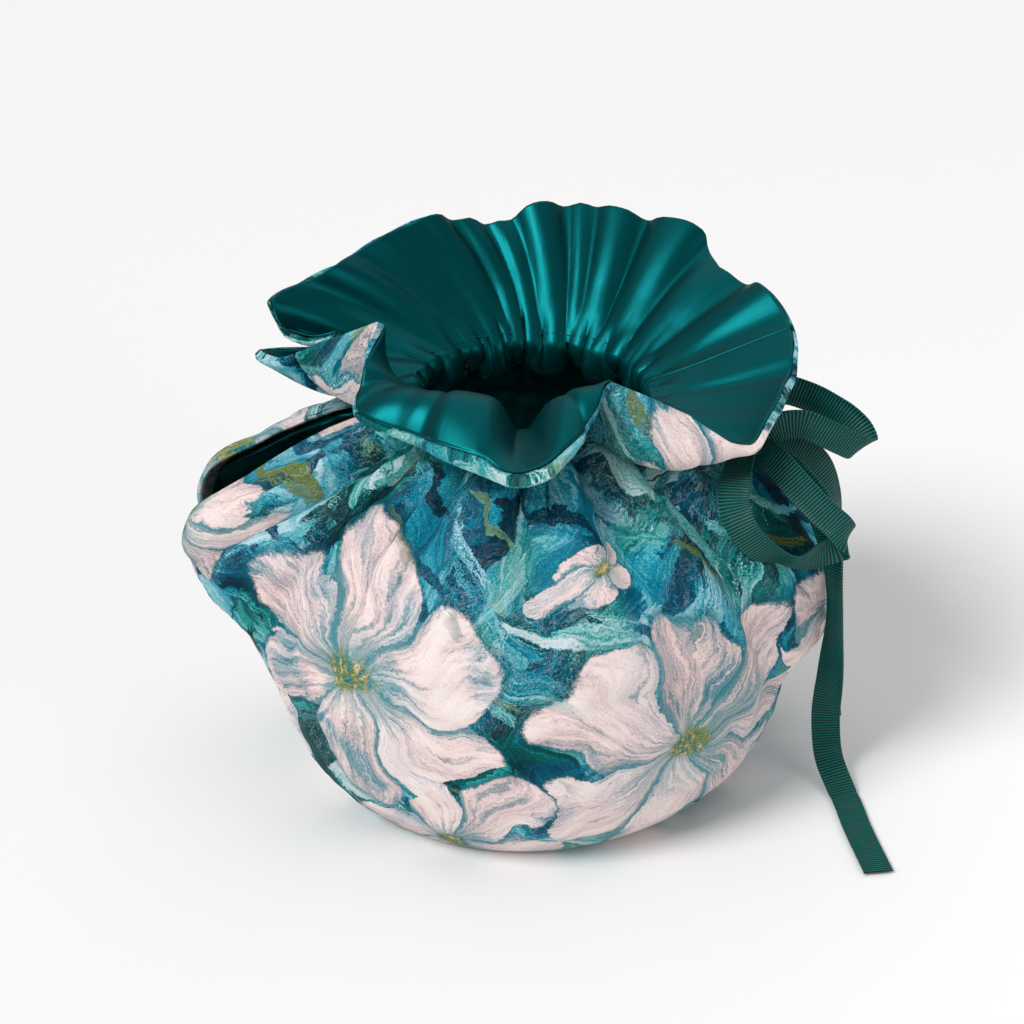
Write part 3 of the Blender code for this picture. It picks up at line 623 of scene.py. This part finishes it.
# thread along the channel: each stitch is a small lens of thread that dips into the cloth
sewing = {
    "pitch": 2.7,
    "length": 1.9,
    "thread": 0.55,
    "start": 1.0,  # from the seams
    "end": 2.5,
    "aboveChannel": 0.06,  # shares of the frill and of the body
    "belowChannel": 0.02,
}


def stitchRow(name, path, normals, thread):
    steps = lengthAlong(path, 0)

    def spotAt(at, values):
        return np.array([np.interp(at, steps, axis) for axis in values.T])

    mesh = bmesh.new()
    for start in np.arange(sewing["start"], steps[-1] - sewing["end"], sewing["pitch"]):
        first, last = spotAt(start, path), spotAt(start + sewing["length"], path)
        up = Vector(spotAt(start + sewing["length"] / 2, normals))
        along = Vector(last - first)
        across = along.cross(up).normalized()
        up = across.cross(along).normalized()
        lens = Matrix((along, across * sewing["thread"], up * sewing["thread"])).transposed().to_4x4()
        lens.translation = Vector((first + last) / 2)
        bmesh.ops.create_uvsphere(mesh, u_segments=8, v_segments=6, radius=0.5, matrix=lens)
    bmesh.ops.translate(mesh, verts=mesh.verts, vec=rowShift)
    bmesh.ops.scale(mesh, verts=mesh.verts, vec=(mm, mm, mm))
    return pieceFrom(mesh, name, thread)


# the ribbon: each strand's middle line in mm, then the way its width runs
ribbon = {
    "width": 10.0,
    "thickness": 0.75,
    "ribPitch": 1.05,
    "ribHeight": 0.16,
    "stepsToRib": 5,
    "offTable": 0.05,
    # across the width: place, thickness and how strongly it is ribbed
    "profile": (
        (-1, 0.25, 0), (-0.985, 0.9, 0.2), (-0.93, 1, 0.5), (-0.9, 0.75, 1), (-0.45, 0.75, 1), (0, 0.75, 1),
        (0.45, 0.75, 1), (0.9, 0.75, 1), (0.93, 1, 0.5), (0.985, 0.9, 0.2), (1, 0.25, 0),
    ),
    "knot": {
        "place": (72.0, -18.8, 127.6),
        "axis": (0.93, -0.12, -0.34),
        "rows": 16,
        "start": -130.0,  # degrees, and how far each row turns on
        "turn": 30.0,
        "growth": 0.012,  # each row lies this much further out
        "half": (6.3, 4.7),
        "lean": 0.10,
    },
    "strands": {
        "fromNeckFront": (
            (44.8, -15.4, 134.2, 0.3, 1, 0), (50, -16.6, 133.2, 0.3, 1, 0), (60, -18.6, 130.5, 0.3, 1, 0),
            (71, -20.5, 127.6, 0.3, 1, 0),
        ),
        "fromNeckBack": (
            (44.8, -3.6, 134.6, 0.1, 1, 0), (50, -5.6, 133.6, 0.3, 1, 0), (60, -11, 130.8, 0.4, 1, 0),
            (71, -17, 127.8, 0.4, 1, 0),
        ),
        "loopBack": (
            (72, -17, 128, 0.1, 0.5, 0.9), (76, -10.5, 133.5, 0, 0.4, 0.9), (84, -5.5, 140.5, 0.2, 0.2, 1),
            (92, -5, 138.5, 0.3, 0.1, 1), (100.3, -6, 134.5, 0.4, 0.1, 0.9), (106.3, -8, 131, 0.5, 0.1, 0.8),
            (110.4, -10, 127, 0.7, 0.1, 0.7), (111.5, -13.5, 124.3, 0.8, 0, 0.6),
            (108.9, -17.5, 124.9, 0.7, 0, 0.7), (103.1, -20, 128.4, 0.5, 0, 0.9), (97, -21, 131.8, 0.4, 0, 0.9),
            (88.8, -21, 135.2, 0.2, 0, 1), (82, -21, 134.5, 0, 0.1, 1), (72, -20, 128.5, 0, 0.2, 0.9),
        ),
        "loopFront": (
            (72, -20, 128, 0.5, 0.3, 0.8), (79.3, -31, 126.5, 0.7, 0, 0.7), (87.4, -38, 119.4, 0.7, 0, 0.7),
            (94.5, -42, 113, 0.6, 0, 0.8), (100.4, -42.5, 107.6, 0.4, 0.1, 0.9), (103.2, -40.5, 102, 0.1, 0.2, 1),
            (101, -38, 98, -0.1, 0.1, 1), (96.3, -39.5, 96.9, -0.1, -0.1, 1), (89.5, -44.5, 97.4, -0.1, -0.5, 0.8),
            (83.6, -48.5, 99.2, 0.1, -0.7, 0.6), (74.2, -52.5, 104.8, 0.4, -0.3, 0.8),
            (67.6, -54, 112.7, 0.6, 0, 0.7), (64.4, -52, 120, 0.8, 0.2, 0.5), (64.9, -45, 125, 0.8, 0.5, 0.3),
            (67.5, -34, 127.5, 0.9, 0.4, 0.3), (71, -20, 127.5, 0.9, 0.2, 0.2),
        ),
        "tailLong": (
            (72, -19, 127, 0.5, 0.5, 0.7), (83, -25.5, 122, 0.6, 0.3, 0.7), (94, -30.5, 111, 0.7, -0.1, 0.6),
            (99, -33.5, 97, 0.6, -0.6, 0.2), (101.4, -34.5, 82, 0.4, -0.9, 0.1), (103.4, -31, 64, 0.4, -0.9, 0.1),
            (104, -27.5, 43, 0.8, -0.6, 0), (104, -26, 22, 1, -0.1, 0), (106, -27.5, 8, 1, -0.1, 0),
            (109.5, -38, 1.2, 1, -0.1, 0), (111.8, -60, 0.8, 1, -0.13, 0), (115, -84, 0.8, 1, -0.13, 0),
        ),
        "tailShort": (
            (72, -17, 127, 0.4, 0.6, 0.6), (83, -12, 126, 0.5, 0.6, 0.5), (96, -10.5, 117, 0.6, 0.5, 0.5),
            (103, -11.5, 105, 0.4, 0.8, 0.2), (106.4, -12, 90, 0.1, 1, 0.1), (107, -11.5, 72, 0.1, 1, 0),
            (107.4, -9.5, 50, 0.1, 1, 0), (108, -9, 30, 0.3, 0.9, 0), (108, -10.5, 14, 0.9, 0.4, 0),
        ),
    },
}


def knotRing():  # one lap and a quarter round the strands, the end tucked over the start
    knot = ribbon["knot"]
    axis = Vector(knot["axis"]).normalized()
    side = Vector((0.0, 0.0, 1.0)).cross(axis).normalized()
    up = axis.cross(side)
    rows = []
    wide, high = knot["half"]
    for step in range(knot["rows"]):
        turn = math.radians(knot["start"] + knot["turn"] * step)
        out = 1.0 + knot["growth"] * step
        spot = Vector(knot["place"]) + side * wide * out * math.cos(turn) + up * high * out * math.sin(turn)
        lean = axis + side * knot["lean"] * math.sin(turn)
        rows.append((*spot, *lean))
    return tuple(rows)


def ribbonStrand(name, table, material):
    rows = np.array(table, float)
    length = lengthAlong(rows[:, :3], 0)
    steps = int(length[-1] / ribbon["ribPitch"] * ribbon["stepsToRib"])
    fine = np.linspace(0.0, length[-1], steps + 1)
    line = smoothThrough(length, rows, fine)
    line[:, 2] = np.maximum(line[:, 2], ribbon["thickness"])
    along = np.gradient(line[:, :3], axis=0)
    along /= np.linalg.norm(along, axis=1, keepdims=True)
    width = line[:, 3:] - along * np.sum(line[:, 3:] * along, axis=1, keepdims=True)
    width /= np.linalg.norm(width, axis=1, keepdims=True)
    face = np.cross(along, width)
    across, plump, ribbed = np.array(ribbon["profile"], float).T
    rib = 0.5 + 0.5 * np.cos(fine * 2.0 * math.pi / ribbon["ribPitch"])
    half = ribbon["thickness"] / 2 * plump[None, :] + ribbon["ribHeight"] * (rib[:, None] - 0.5) * ribbed[None, :]
    middle = line[:, None, :3] + across[None, :, None] * ribbon["width"] / 2 * width[:, None, :]
    uv = np.stack(np.broadcast_arrays(across[None, :] * ribbon["width"] / 2 * mm, fine[:, None] * mm), axis=2)
    offset = half[..., None] * face[:, None, :]
    top, under = middle + offset, middle - offset
    under[..., 2] = np.maximum(under[..., 2], ribbon["offTable"])
    return clothShell(name, top, under, uv, material), length[-1] * mm


# shader maths, written as plain sums
class Value:
    def __init__(self, paint, socket):
        self.paint, self.socket = paint, socket

    def maths(self, operation, *others):
        return self.paint.node("ShaderNodeMath", {"operation": operation}, dict(enumerate((self, *others))))

    def __add__(self, other): return self.maths("ADD", other)
    def __sub__(self, other): return self.maths("SUBTRACT", other)
    def __mul__(self, other): return self.maths("MULTIPLY", other)
    def __truediv__(self, other): return self.maths("DIVIDE", other)
    def __pow__(self, other): return self.maths("POWER", other)
    def __radd__(self, other): return self.maths("ADD", other)
    def __rmul__(self, other): return self.maths("MULTIPLY", other)

    def __rsub__(self, other):
        return self.paint.node("ShaderNodeMath", {"operation": "SUBTRACT"}, {0: other, 1: self})


class Paint:
    def __init__(self, name, **constants):
        self.material = bpy.data.materials.new(name)
        self.material.use_nodes = True
        self.tree = self.material.node_tree
        self.shader = self.tree.nodes["Principled BSDF"]
        for socket, value in constants.items():
            self.shader.inputs[socket.replace("_", " ")].default_value = value

    def node(self, kind, settings=None, sockets=None, out=0):
        made = self.tree.nodes.new(kind)
        for name, value in (settings or {}).items():
            if name == "stops":
                ramp = made.color_ramp
                while len(ramp.elements) < len(value):
                    ramp.elements.new(0.5)
                for element, (position, *colour) in zip(ramp.elements, value):
                    element.position, element.color = position, (*colour, 1.0)
            else:
                setattr(made, name, value)
        for name, value in (sockets or {}).items():
            if isinstance(value, Value):
                self.tree.links.new(value.socket, made.inputs[name])
            else:
                made.inputs[name].default_value = value
        return Value(self, made.outputs[out])

    def mix(self, factor, first, second):
        first, second = ((*c, 1.0) if isinstance(c, tuple) and len(c) == 3 else c for c in (first, second))
        return self.node("ShaderNodeMix", {"data_type": "RGBA"}, {0: factor, 6: first, 7: second}, out=2)

    def choose(self, factor, first, second):
        return self.node("ShaderNodeMix", {"data_type": "VECTOR"}, {0: factor, 4: first, 5: second}, out=1)

    def uv(self):
        return self.node("ShaderNodeUVMap", {"uv_map": "cloth"})

    def channel(self, colour, number):
        return self.node("ShaderNodeSeparateColor", None, {0: colour}, number)

    def axis(self, vector, number):
        return self.node("ShaderNodeSeparateXYZ", None, {0: vector}, number)

    def joined(self, x, y, z):
        return self.node("ShaderNodeCombineXYZ", None, {0: x, 1: y, 2: z})

    def vector(self, operation, *values, out=0):
        return self.node("ShaderNodeVectorMath", {"operation": operation}, dict(enumerate(values)), out=out)

    def noise(self, vector, scale, detail=2.0, roughness=0.5, distortion=0.0, out=0):
        sockets = {"Vector": vector, "Scale": scale, "Detail": detail, "Roughness": roughness}
        return self.node("ShaderNodeTexNoise", None, {**sockets, "Distortion": distortion}, out)

    def stretched(self, vector, scale, detail, roughness=0.5, out=0):  # noise with a scale for each axis
        return self.noise(self.vector("MULTIPLY", vector, scale), 1.0, detail, roughness, out=out)

    def jittered(self, vector, colour, amount):  # moved about by a noise's colour
        return self.vector("MULTIPLY_ADD", self.vector("SUBTRACT", colour, (0.5, 0.5, 0.5)), amount, vector)

    def wave(self, vector, direction, **sockets):
        return self.node("ShaderNodeTexWave", {"bands_direction": direction}, {"Vector": vector, **sockets}, out=1)

    def turnedTo(self, vector, turn, size, start=(0.0, 0.0)):  # coordinates turned, then measured in size
        sockets = {"Vector": vector, "Location": (*start, 0.0), "Rotation": (0.0, 0.0, turn), "Scale": (*size, 1.0)}
        return self.node("ShaderNodeMapping", {"vector_type": "TEXTURE"}, sockets)

    def ramp(self, factor, *stops):  # each stop's position and colour
        return self.node("ShaderNodeValToRGB", {"stops": stops}, {0: factor})

    def between(self, value, low, high):  # 0 below low, 1 above high, smooth in between
        sockets = {"Value": value, "From Min": low, "From Max": high}
        return self.node("ShaderNodeMapRange", {"interpolation_type": "SMOOTHSTEP"}, sockets)

    def feed(self, socket, value):
        self.tree.links.new(value.socket, self.shader.inputs[socket])

    def bump(self, height, distance, strength=1.0):
        sockets = {"Height": height, "Distance": distance, "Strength": strength}
        self.feed("Normal", self.node("ShaderNodeBump", None, sockets))


def satinMaterial():
    paint = Paint("satinTeal", Metallic=0.82, Roughness=0.38, Specular_IOR_Level=0.12)
    uv = paint.uv()
    broad = paint.noise(uv, 18.0, 2.0)
    thread = paint.stretched(uv, (2600.0, 160.0, 1.0), 2.0)
    colour = paint.mix(broad, (0.0, 0.062, 0.070), (0.0, 0.088, 0.096))
    paint.feed("Base Color", paint.mix(thread * 0.35, colour, (0.0, 0.112, 0.118)))
    paint.feed("Roughness", paint.between(broad * 0.5 + thread * 0.5, 0.0, 1.0) * 0.12 + 0.33)
    slack = paint.stretched(uv, (90.0, 42.0, 1.0), 3.0, 0.55)  # the satin's own small creases
    paint.bump(thread * 0.08 + broad * 0.3 + slack * 0.35, 0.00060)
    return paint.material


def ribbonMaterial():
    paint = Paint("ribbonGreen", Roughness=0.42, Specular_IOR_Level=0.25)
    uv = paint.uv()
    along = paint.axis(uv, 1)
    rib = (along * (2.0 * math.pi / (ribbon["ribPitch"] * mm))).maths("COSINE") * 0.5 + 0.5
    mottle = paint.noise(uv, 260.0, 2.0)
    # painted shade and painted highlight: the colour follows the ribs, nearly black in the grooves between them as
    # painted shade and bright teal-green on their tops as painted highlight, over ribs that are also real in the
    # geometry and the bump
    colour = paint.mix(rib ** 1.5, (0.0, 0.004, 0.005), (0.0, 0.165, 0.140))
    paint.feed("Base Color", paint.mix(mottle * 0.35, colour, (0.0, 0.040, 0.036)))
    thread = paint.stretched(uv, (700.0, 6000.0, 1.0), 1.0)
    paint.feed("Roughness", mottle * 0.15 + 0.34)
    paint.bump(thread * 0.4 + rib * 0.8, 0.00012)
    return paint.material


def threadMaterial():
    paint = Paint("threadTeal", Roughness=0.55, Specular_IOR_Level=0.2)
    place = paint.node("ShaderNodeTexCoord", out=3)
    twist = paint.wave(place, "DIAGONAL", Scale=900.0, Distortion=1.0)
    paint.feed("Base Color", paint.mix(twist, (0.0, 0.040, 0.045), (0.0, 0.105, 0.112)))
    paint.bump(twist, 0.00008)
    return paint.material


# large blossoms of the print on its two panels: middle across and up in mm, size, petals, turn, pinkness
blossoms = {
    "table": (
        (-80, 60, 62, 7, 0.5, 0.85), (-200, 84, 56, 6, 1.1, 0.80), (-8, 84, 36, 5, 2, 0.90),
        (-164, 22, 38, 6, 0.7, 0.80), (-262, 34, 40, 5, 0.2, 0.70), (-272, 122, 26, 6, 2.4, 0.90),
        (-20, 4, 30, 6, 1.6, 0.60), (-118, 128, 16, 5, 2.2, 0.80), (-56, 200, 34, 6, 1.2, 0.85),
        (2, 186, 30, 5, 0.4, 0.95), (-196, 196, 30, 5, 0.4, 0.70), (-262, 200, 32, 6, 2.6, 0.80),
        (636, 66, 50, 5, 0.8, 0.80), (734, 96, 46, 6, 1.9, 0.60), (812, 50, 52, 6, 0.1, 0.90),
        (868, 124, 38, 5, 1.3, 0.70), (692, 16, 34, 5, 2.9, 0.70), (664, 184, 34, 6, 2.2, 0.80),
        (790, 188, 34, 5, 0.5, 0.70),
    ),
    "middle": 0.16,  # share of a blossom's size that its gold middle takes
}


def brushDabs(paint, place, turn, long, wide, seed):  # strokes of a flat brush: each cell one tone, streaked along it
    own = paint.turnedTo(place, turn, (wide, long), (seed * 9.0, seed * 6.0))
    own = paint.jittered(own, paint.stretched(own, (7.0, 1.2, 1.0), 4.0, 0.75, out=1), (0.55, 0.9, 0.0))
    soft = {"Vector": own, "Scale": 1.0, "Randomness": 1.0, "Smoothness": 0.22}
    cells = paint.node("ShaderNodeTexVoronoi", {"voronoi_dimensions": "2D", "feature": "SMOOTH_F1"}, soft, out=1)
    tone = paint.channel(cells, 0)
    bristle = paint.stretched(own, (7.0, 0.40, 1.0), 4.0, 0.75)
    return tone * 0.5 + bristle * 0.8 - 0.15, cells, bristle


def printMaterial():
    paint = Paint("paintedPrint", Roughness=0.7, Specular_IOR_Level=0.08)
    uv = paint.uv()
    place = paint.vector("MULTIPLY", uv, (1000.0, 1000.0, 0.0))  # to mm
    loose = paint.jittered(place, paint.noise(place, 0.030, 1.0, 0.5, out=1), (40.0, 40.0, 0.0))
    loose = paint.jittered(loose, paint.noise(place, 0.40, 3.0, 0.6, out=1), (3.6, 3.6, 0.0))
    # ground: three layers of dabs, each covering part of the one below
    low, _, _ = brushDabs(paint, loose, 0.35, 38.0, 15.0, 3.1)
    over, pick, dryOver = brushDabs(paint, loose, -0.65, 30.0, 7.0, 17.3)
    top, rare, dryTop = brushDabs(paint, loose, 0.95, 20.0, 4.2, 41.7)
    speck = paint.noise(place, 1.5, 2.0, 0.6)  # the dry, stippled look of paint on rough cloth
    region = paint.noise(loose, 0.017, 2.0, 0.5)
    hue = paint.between(paint.noise(loose, 0.021, 1.5, 0.5, 0.5), 0.44, 0.56)
    overIn = paint.channel(pick, 1) + (region - 0.5) * 0.8 + (dryOver - 0.5) * 0.9
    overIn = paint.between(overIn + (speck - 0.5) * 0.5, 0.38, 0.58)
    topIn = paint.channel(rare, 1) + (region - 0.5) * 1.2 + (dryTop - 0.5) * 0.9
    topIn = paint.between(topIn + (speck - 0.5) * 0.5, 0.60, 0.80)
    tone = low + (over - low) * overIn
    tone = tone + (top - tone) * topIn
    tone = paint.between(tone + (region - 0.5) * 0.5 + (speck - 0.5) * 0.30, 0.20, 0.97)
    blue = paint.ramp(
        tone,
        (0, 0, 0.02, 0.036), (0.2, 0, 0.065, 0.125), (0.38, 0, 0.16, 0.255),
        (0.54, 0.005, 0.27, 0.36), (0.68, 0.12, 0.42, 0.49), (0.82, 0.36, 0.57, 0.64),
        (1, 0.66, 0.67, 0.74),
    )
    green = paint.ramp(
        tone,
        (0, 0, 0.02, 0.024), (0.2, 0, 0.075, 0.08), (0.38, 0, 0.18, 0.182),
        (0.54, 0.02, 0.3, 0.29), (0.68, 0.17, 0.44, 0.43), (0.82, 0.42, 0.58, 0.59),
        (1, 0.7, 0.68, 0.69),
    )
    ground = paint.mix(hue, blue, green)
    moss = paint.between(paint.channel(rare, 2), 0.90, 0.93) * topIn
    ground = paint.mix(moss * 0.7, ground, (0.17, 0.22, 0.03))
    # the nearest blossom, in its own coordinates
    nearest, local, facts = None, None, None
    for across, up, size, petals, turn, pink in blossoms["table"]:
        own = paint.vector("SUBTRACT", loose, (across, up, 0.0))
        own = paint.vector("MULTIPLY", own, (1.0 / size, 1.0 / size, 0.0))
        far = paint.vector("LENGTH", own, out=1)
        if nearest is None:
            nearest, local = far, own
            facts = paint.joined(petals, turn, pink)
            continue
        closer = far.maths("LESS_THAN", nearest)
        local = paint.choose(closer, local, own)
        facts = paint.choose(closer, facts, (petals, turn, pink))
        nearest = nearest.maths("MINIMUM", far)
    x, y = (paint.axis(local, number) for number in (0, 1))
    petals, turn, pink = (paint.axis(facts, number) for number in (0, 1, 2))
    angle = y.maths("ARCTAN2", x) + turn
    phase = angle * petals / (2.0 * math.pi) + 20.0
    number = phase.maths("FLOOR")
    offAxis = (phase.maths("FRACT") - 0.5) * 2.0  # -1 to 1 across a petal
    side = offAxis.maths("ABSOLUTE")
    petalPlace = paint.joined(number, turn, 0.0)
    luck = paint.node("ShaderNodeTexWhiteNoise", {"noise_dimensions": "2D"}, {"Vector": petalPlace})
    reach = (luck * 0.26 + 0.80) * (1.0 - (side ** 3.0) * 0.40)
    inPetal = paint.between(reach - nearest + (speck - 0.5) * 0.05, -0.01, 0.035)
    # streaks run out along each petal, and get finer towards its root
    streakPlace = paint.joined(offAxis * 3.4 + number * 7.3, nearest * 0.9, turn)
    streak = paint.noise(streakPlace, 2.1, 4.0, 0.70)
    fine = paint.noise(streakPlace, 8.0, 3.0, 0.72)
    broad = paint.noise(loose, 0.05, 2.0, 0.5)
    light = streak * 0.66 + fine * 0.50 + (broad - 0.5) * 0.5 + luck * 0.12 + (speck - 0.5) * 0.22
    light = paint.between(light, 0.40, 0.88)
    cool = paint.ramp(
        light,
        (0, 0.045, 0.2, 0.24), (0.22, 0.24, 0.36, 0.41), (0.42, 0.5, 0.51, 0.55),
        (0.62, 0.68, 0.63, 0.66), (1, 0.82, 0.76, 0.76),
    )
    warm = paint.ramp(
        light,
        (0, 0.08, 0.19, 0.21), (0.2, 0.36, 0.36, 0.38), (0.38, 0.64, 0.48, 0.48),
        (0.6, 0.78, 0.61, 0.59), (1, 0.86, 0.76, 0.72),
    )
    petal = paint.mix(paint.between(pink + (broad - 0.5) * 1.6 + offAxis * 0.2, 0.35, 0.95), cool, warm)
    shade = paint.between(side + (fine - 0.5) * 0.9 + offAxis * 0.16, 0.78, 1.06)
    petal = paint.mix(shade * 0.9, petal, (0.02, 0.19, 0.24))
    root = paint.between(nearest + (streak - 0.5) * 0.9, 0.46, 0.12)
    petal = paint.mix(root * 0.72, petal, (0.05, 0.25, 0.28))
    # brush strokes of the ground lap over the petals' tips here and there
    lapped = inPetal * (1.0 - 0.6 * topIn * paint.between(nearest, 0.74, 0.96) * paint.between(broad, 0.45, 0.55))
    picture = paint.mix(lapped, ground, petal)
    rim = paint.between(reach - nearest, -0.09, -0.01) * (1.0 - inPetal)
    picture = paint.mix(rim * 0.6, picture, (0.0, 0.085, 0.12))
    # olive and gold middle
    eyeDab = paint.stretched(loose, (0.55, 0.26, 0.0), 3.0, 0.7)
    eye = paint.ramp(
        eyeDab,
        (0.3, 0, 0.05, 0.08), (0.42, 0.01, 0.19, 0.22), (0.5, 0.14, 0.22, 0.02),
        (0.57, 0.36, 0.25, 0.07), (0.66, 0.66, 0.56, 0.42),
    )
    inEye = paint.between(blossoms["middle"] + (fine - 0.5) * 0.30 - nearest, -0.02, 0.03)
    picture = paint.mix(inEye, picture, eye)
    # dry pale scratches
    scratch = paint.noise(paint.turnedTo(loose, -0.7, (1.3, 5.0)), 1.0, 3.0, 0.7, 0.8)
    line = 1.0 - paint.between((scratch - 0.5).maths("ABSOLUTE"), 0.0, 0.022)
    picture = paint.mix(line * paint.between(region, 0.42, 0.58) * 0.42, picture, (0.62, 0.74, 0.77))
    paint.feed("Base Color", picture)
    # plain weave and a padded, slightly crumpled hand
    warp, weft = (paint.wave(place, direction, Scale=0.9, Distortion=0.6, Detail=1.0) for direction in "XY")
    crumple = paint.noise(place, 0.12, 4.0, 0.6)
    paint.bump((warp + weft) * 0.05 + crumple * 1.6 + streak * 0.2, 0.0006)
    paint.feed("Roughness", paint.between(crumple, 0.3, 0.7) * 0.12 + 0.62)
    return paint.material


def buildScene():
    printed, satin, grosgrain, thread = printMaterial(), satinMaterial(), ribbonMaterial(), threadMaterial()
    print("materials are made")
    for side, name, columns, offset, nodes in (
        (-1, "Front", panel["frontColumns"], 0.0, ("cover_front", "lining_front")),
        (1, "Back", panel["backColumns"], 0.6, ("cover_back", "lining_back")),
    ):
        cover, lining, stitches = addPanel(side, name, columns, offset, printed, satin, thread)
        for piece, node, slot in ((cover, nodes[0], "print"), (lining, nodes[1], "satin")):
            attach(piece, "root")
            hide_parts(node)
        for row in stitches:
            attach(row, "root")
        print(name, "panel is made")
    total = 0.0
    for name, table in (*ribbon["strands"].items(), ("knot", knotRing())):
        strand, length = ribbonStrand(name, table, grosgrain)
        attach(strand, "root")
        if name == "tailLong":
            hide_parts("ribbon_tie")
        held = "folded" if name == "knot" else "hung"
        total += length
    print(f"ribbon is made, {total:.3f} m of it")


# a pale floor just under the hem, and three lamps, in metres: place, kind, angle or size, power
studio = {
    "floorSize": 3.0,
    "floorHeight": -0.0006,
    "grey": 0.86,
    "worldLight": 0.30,
    "lamps": (
        ("keyLight", (-0.55, -0.45, 0.80), "SUN", math.radians(24.0), 2.45),
        ("skyLight", (0.10, 0.35, 1.00), "SUN", math.radians(70.0), 0.75),
        ("fillLight", (0.70, -0.55, 0.35), "AREA", 0.5, 1.6),
    ),
    "lampsLookAt": (0.0, 0.0, 0.09),
}


def softStudio():
    mesh = bmesh.new()
    bmesh.ops.create_grid(mesh, x_segments=1, y_segments=1, size=studio["floorSize"])
    bmesh.ops.translate(mesh, verts=mesh.verts, vec=(0.0, 0.0, studio["floorHeight"]))
    paper = Paint("palePaper", Base_Color=(*[studio["grey"]] * 3, 1.0), Roughness=0.9)
    pieceFrom(mesh, "floor", paper.material)
    world = bpy.data.worlds.new("studio")
    world.use_nodes = True
    colour, strength = world.node_tree.nodes["Background"].inputs[:2]
    colour.default_value = (1.0, 1.0, 1.0, 1.0)
    strength.default_value = studio["worldLight"]
    scene.world = world
    for name, place, kind, size, power in studio["lamps"]:
        data = bpy.data.lights.new(name, kind)
        if kind == "SUN":
            data.angle = size
        else:
            data.size = size
        data.energy = power
        lamp = placed(name, data)
        lamp.location = place
        lookAt(lamp, Vector(studio["lampsLookAt"]) - lamp.location)


buildScene()
softStudio()
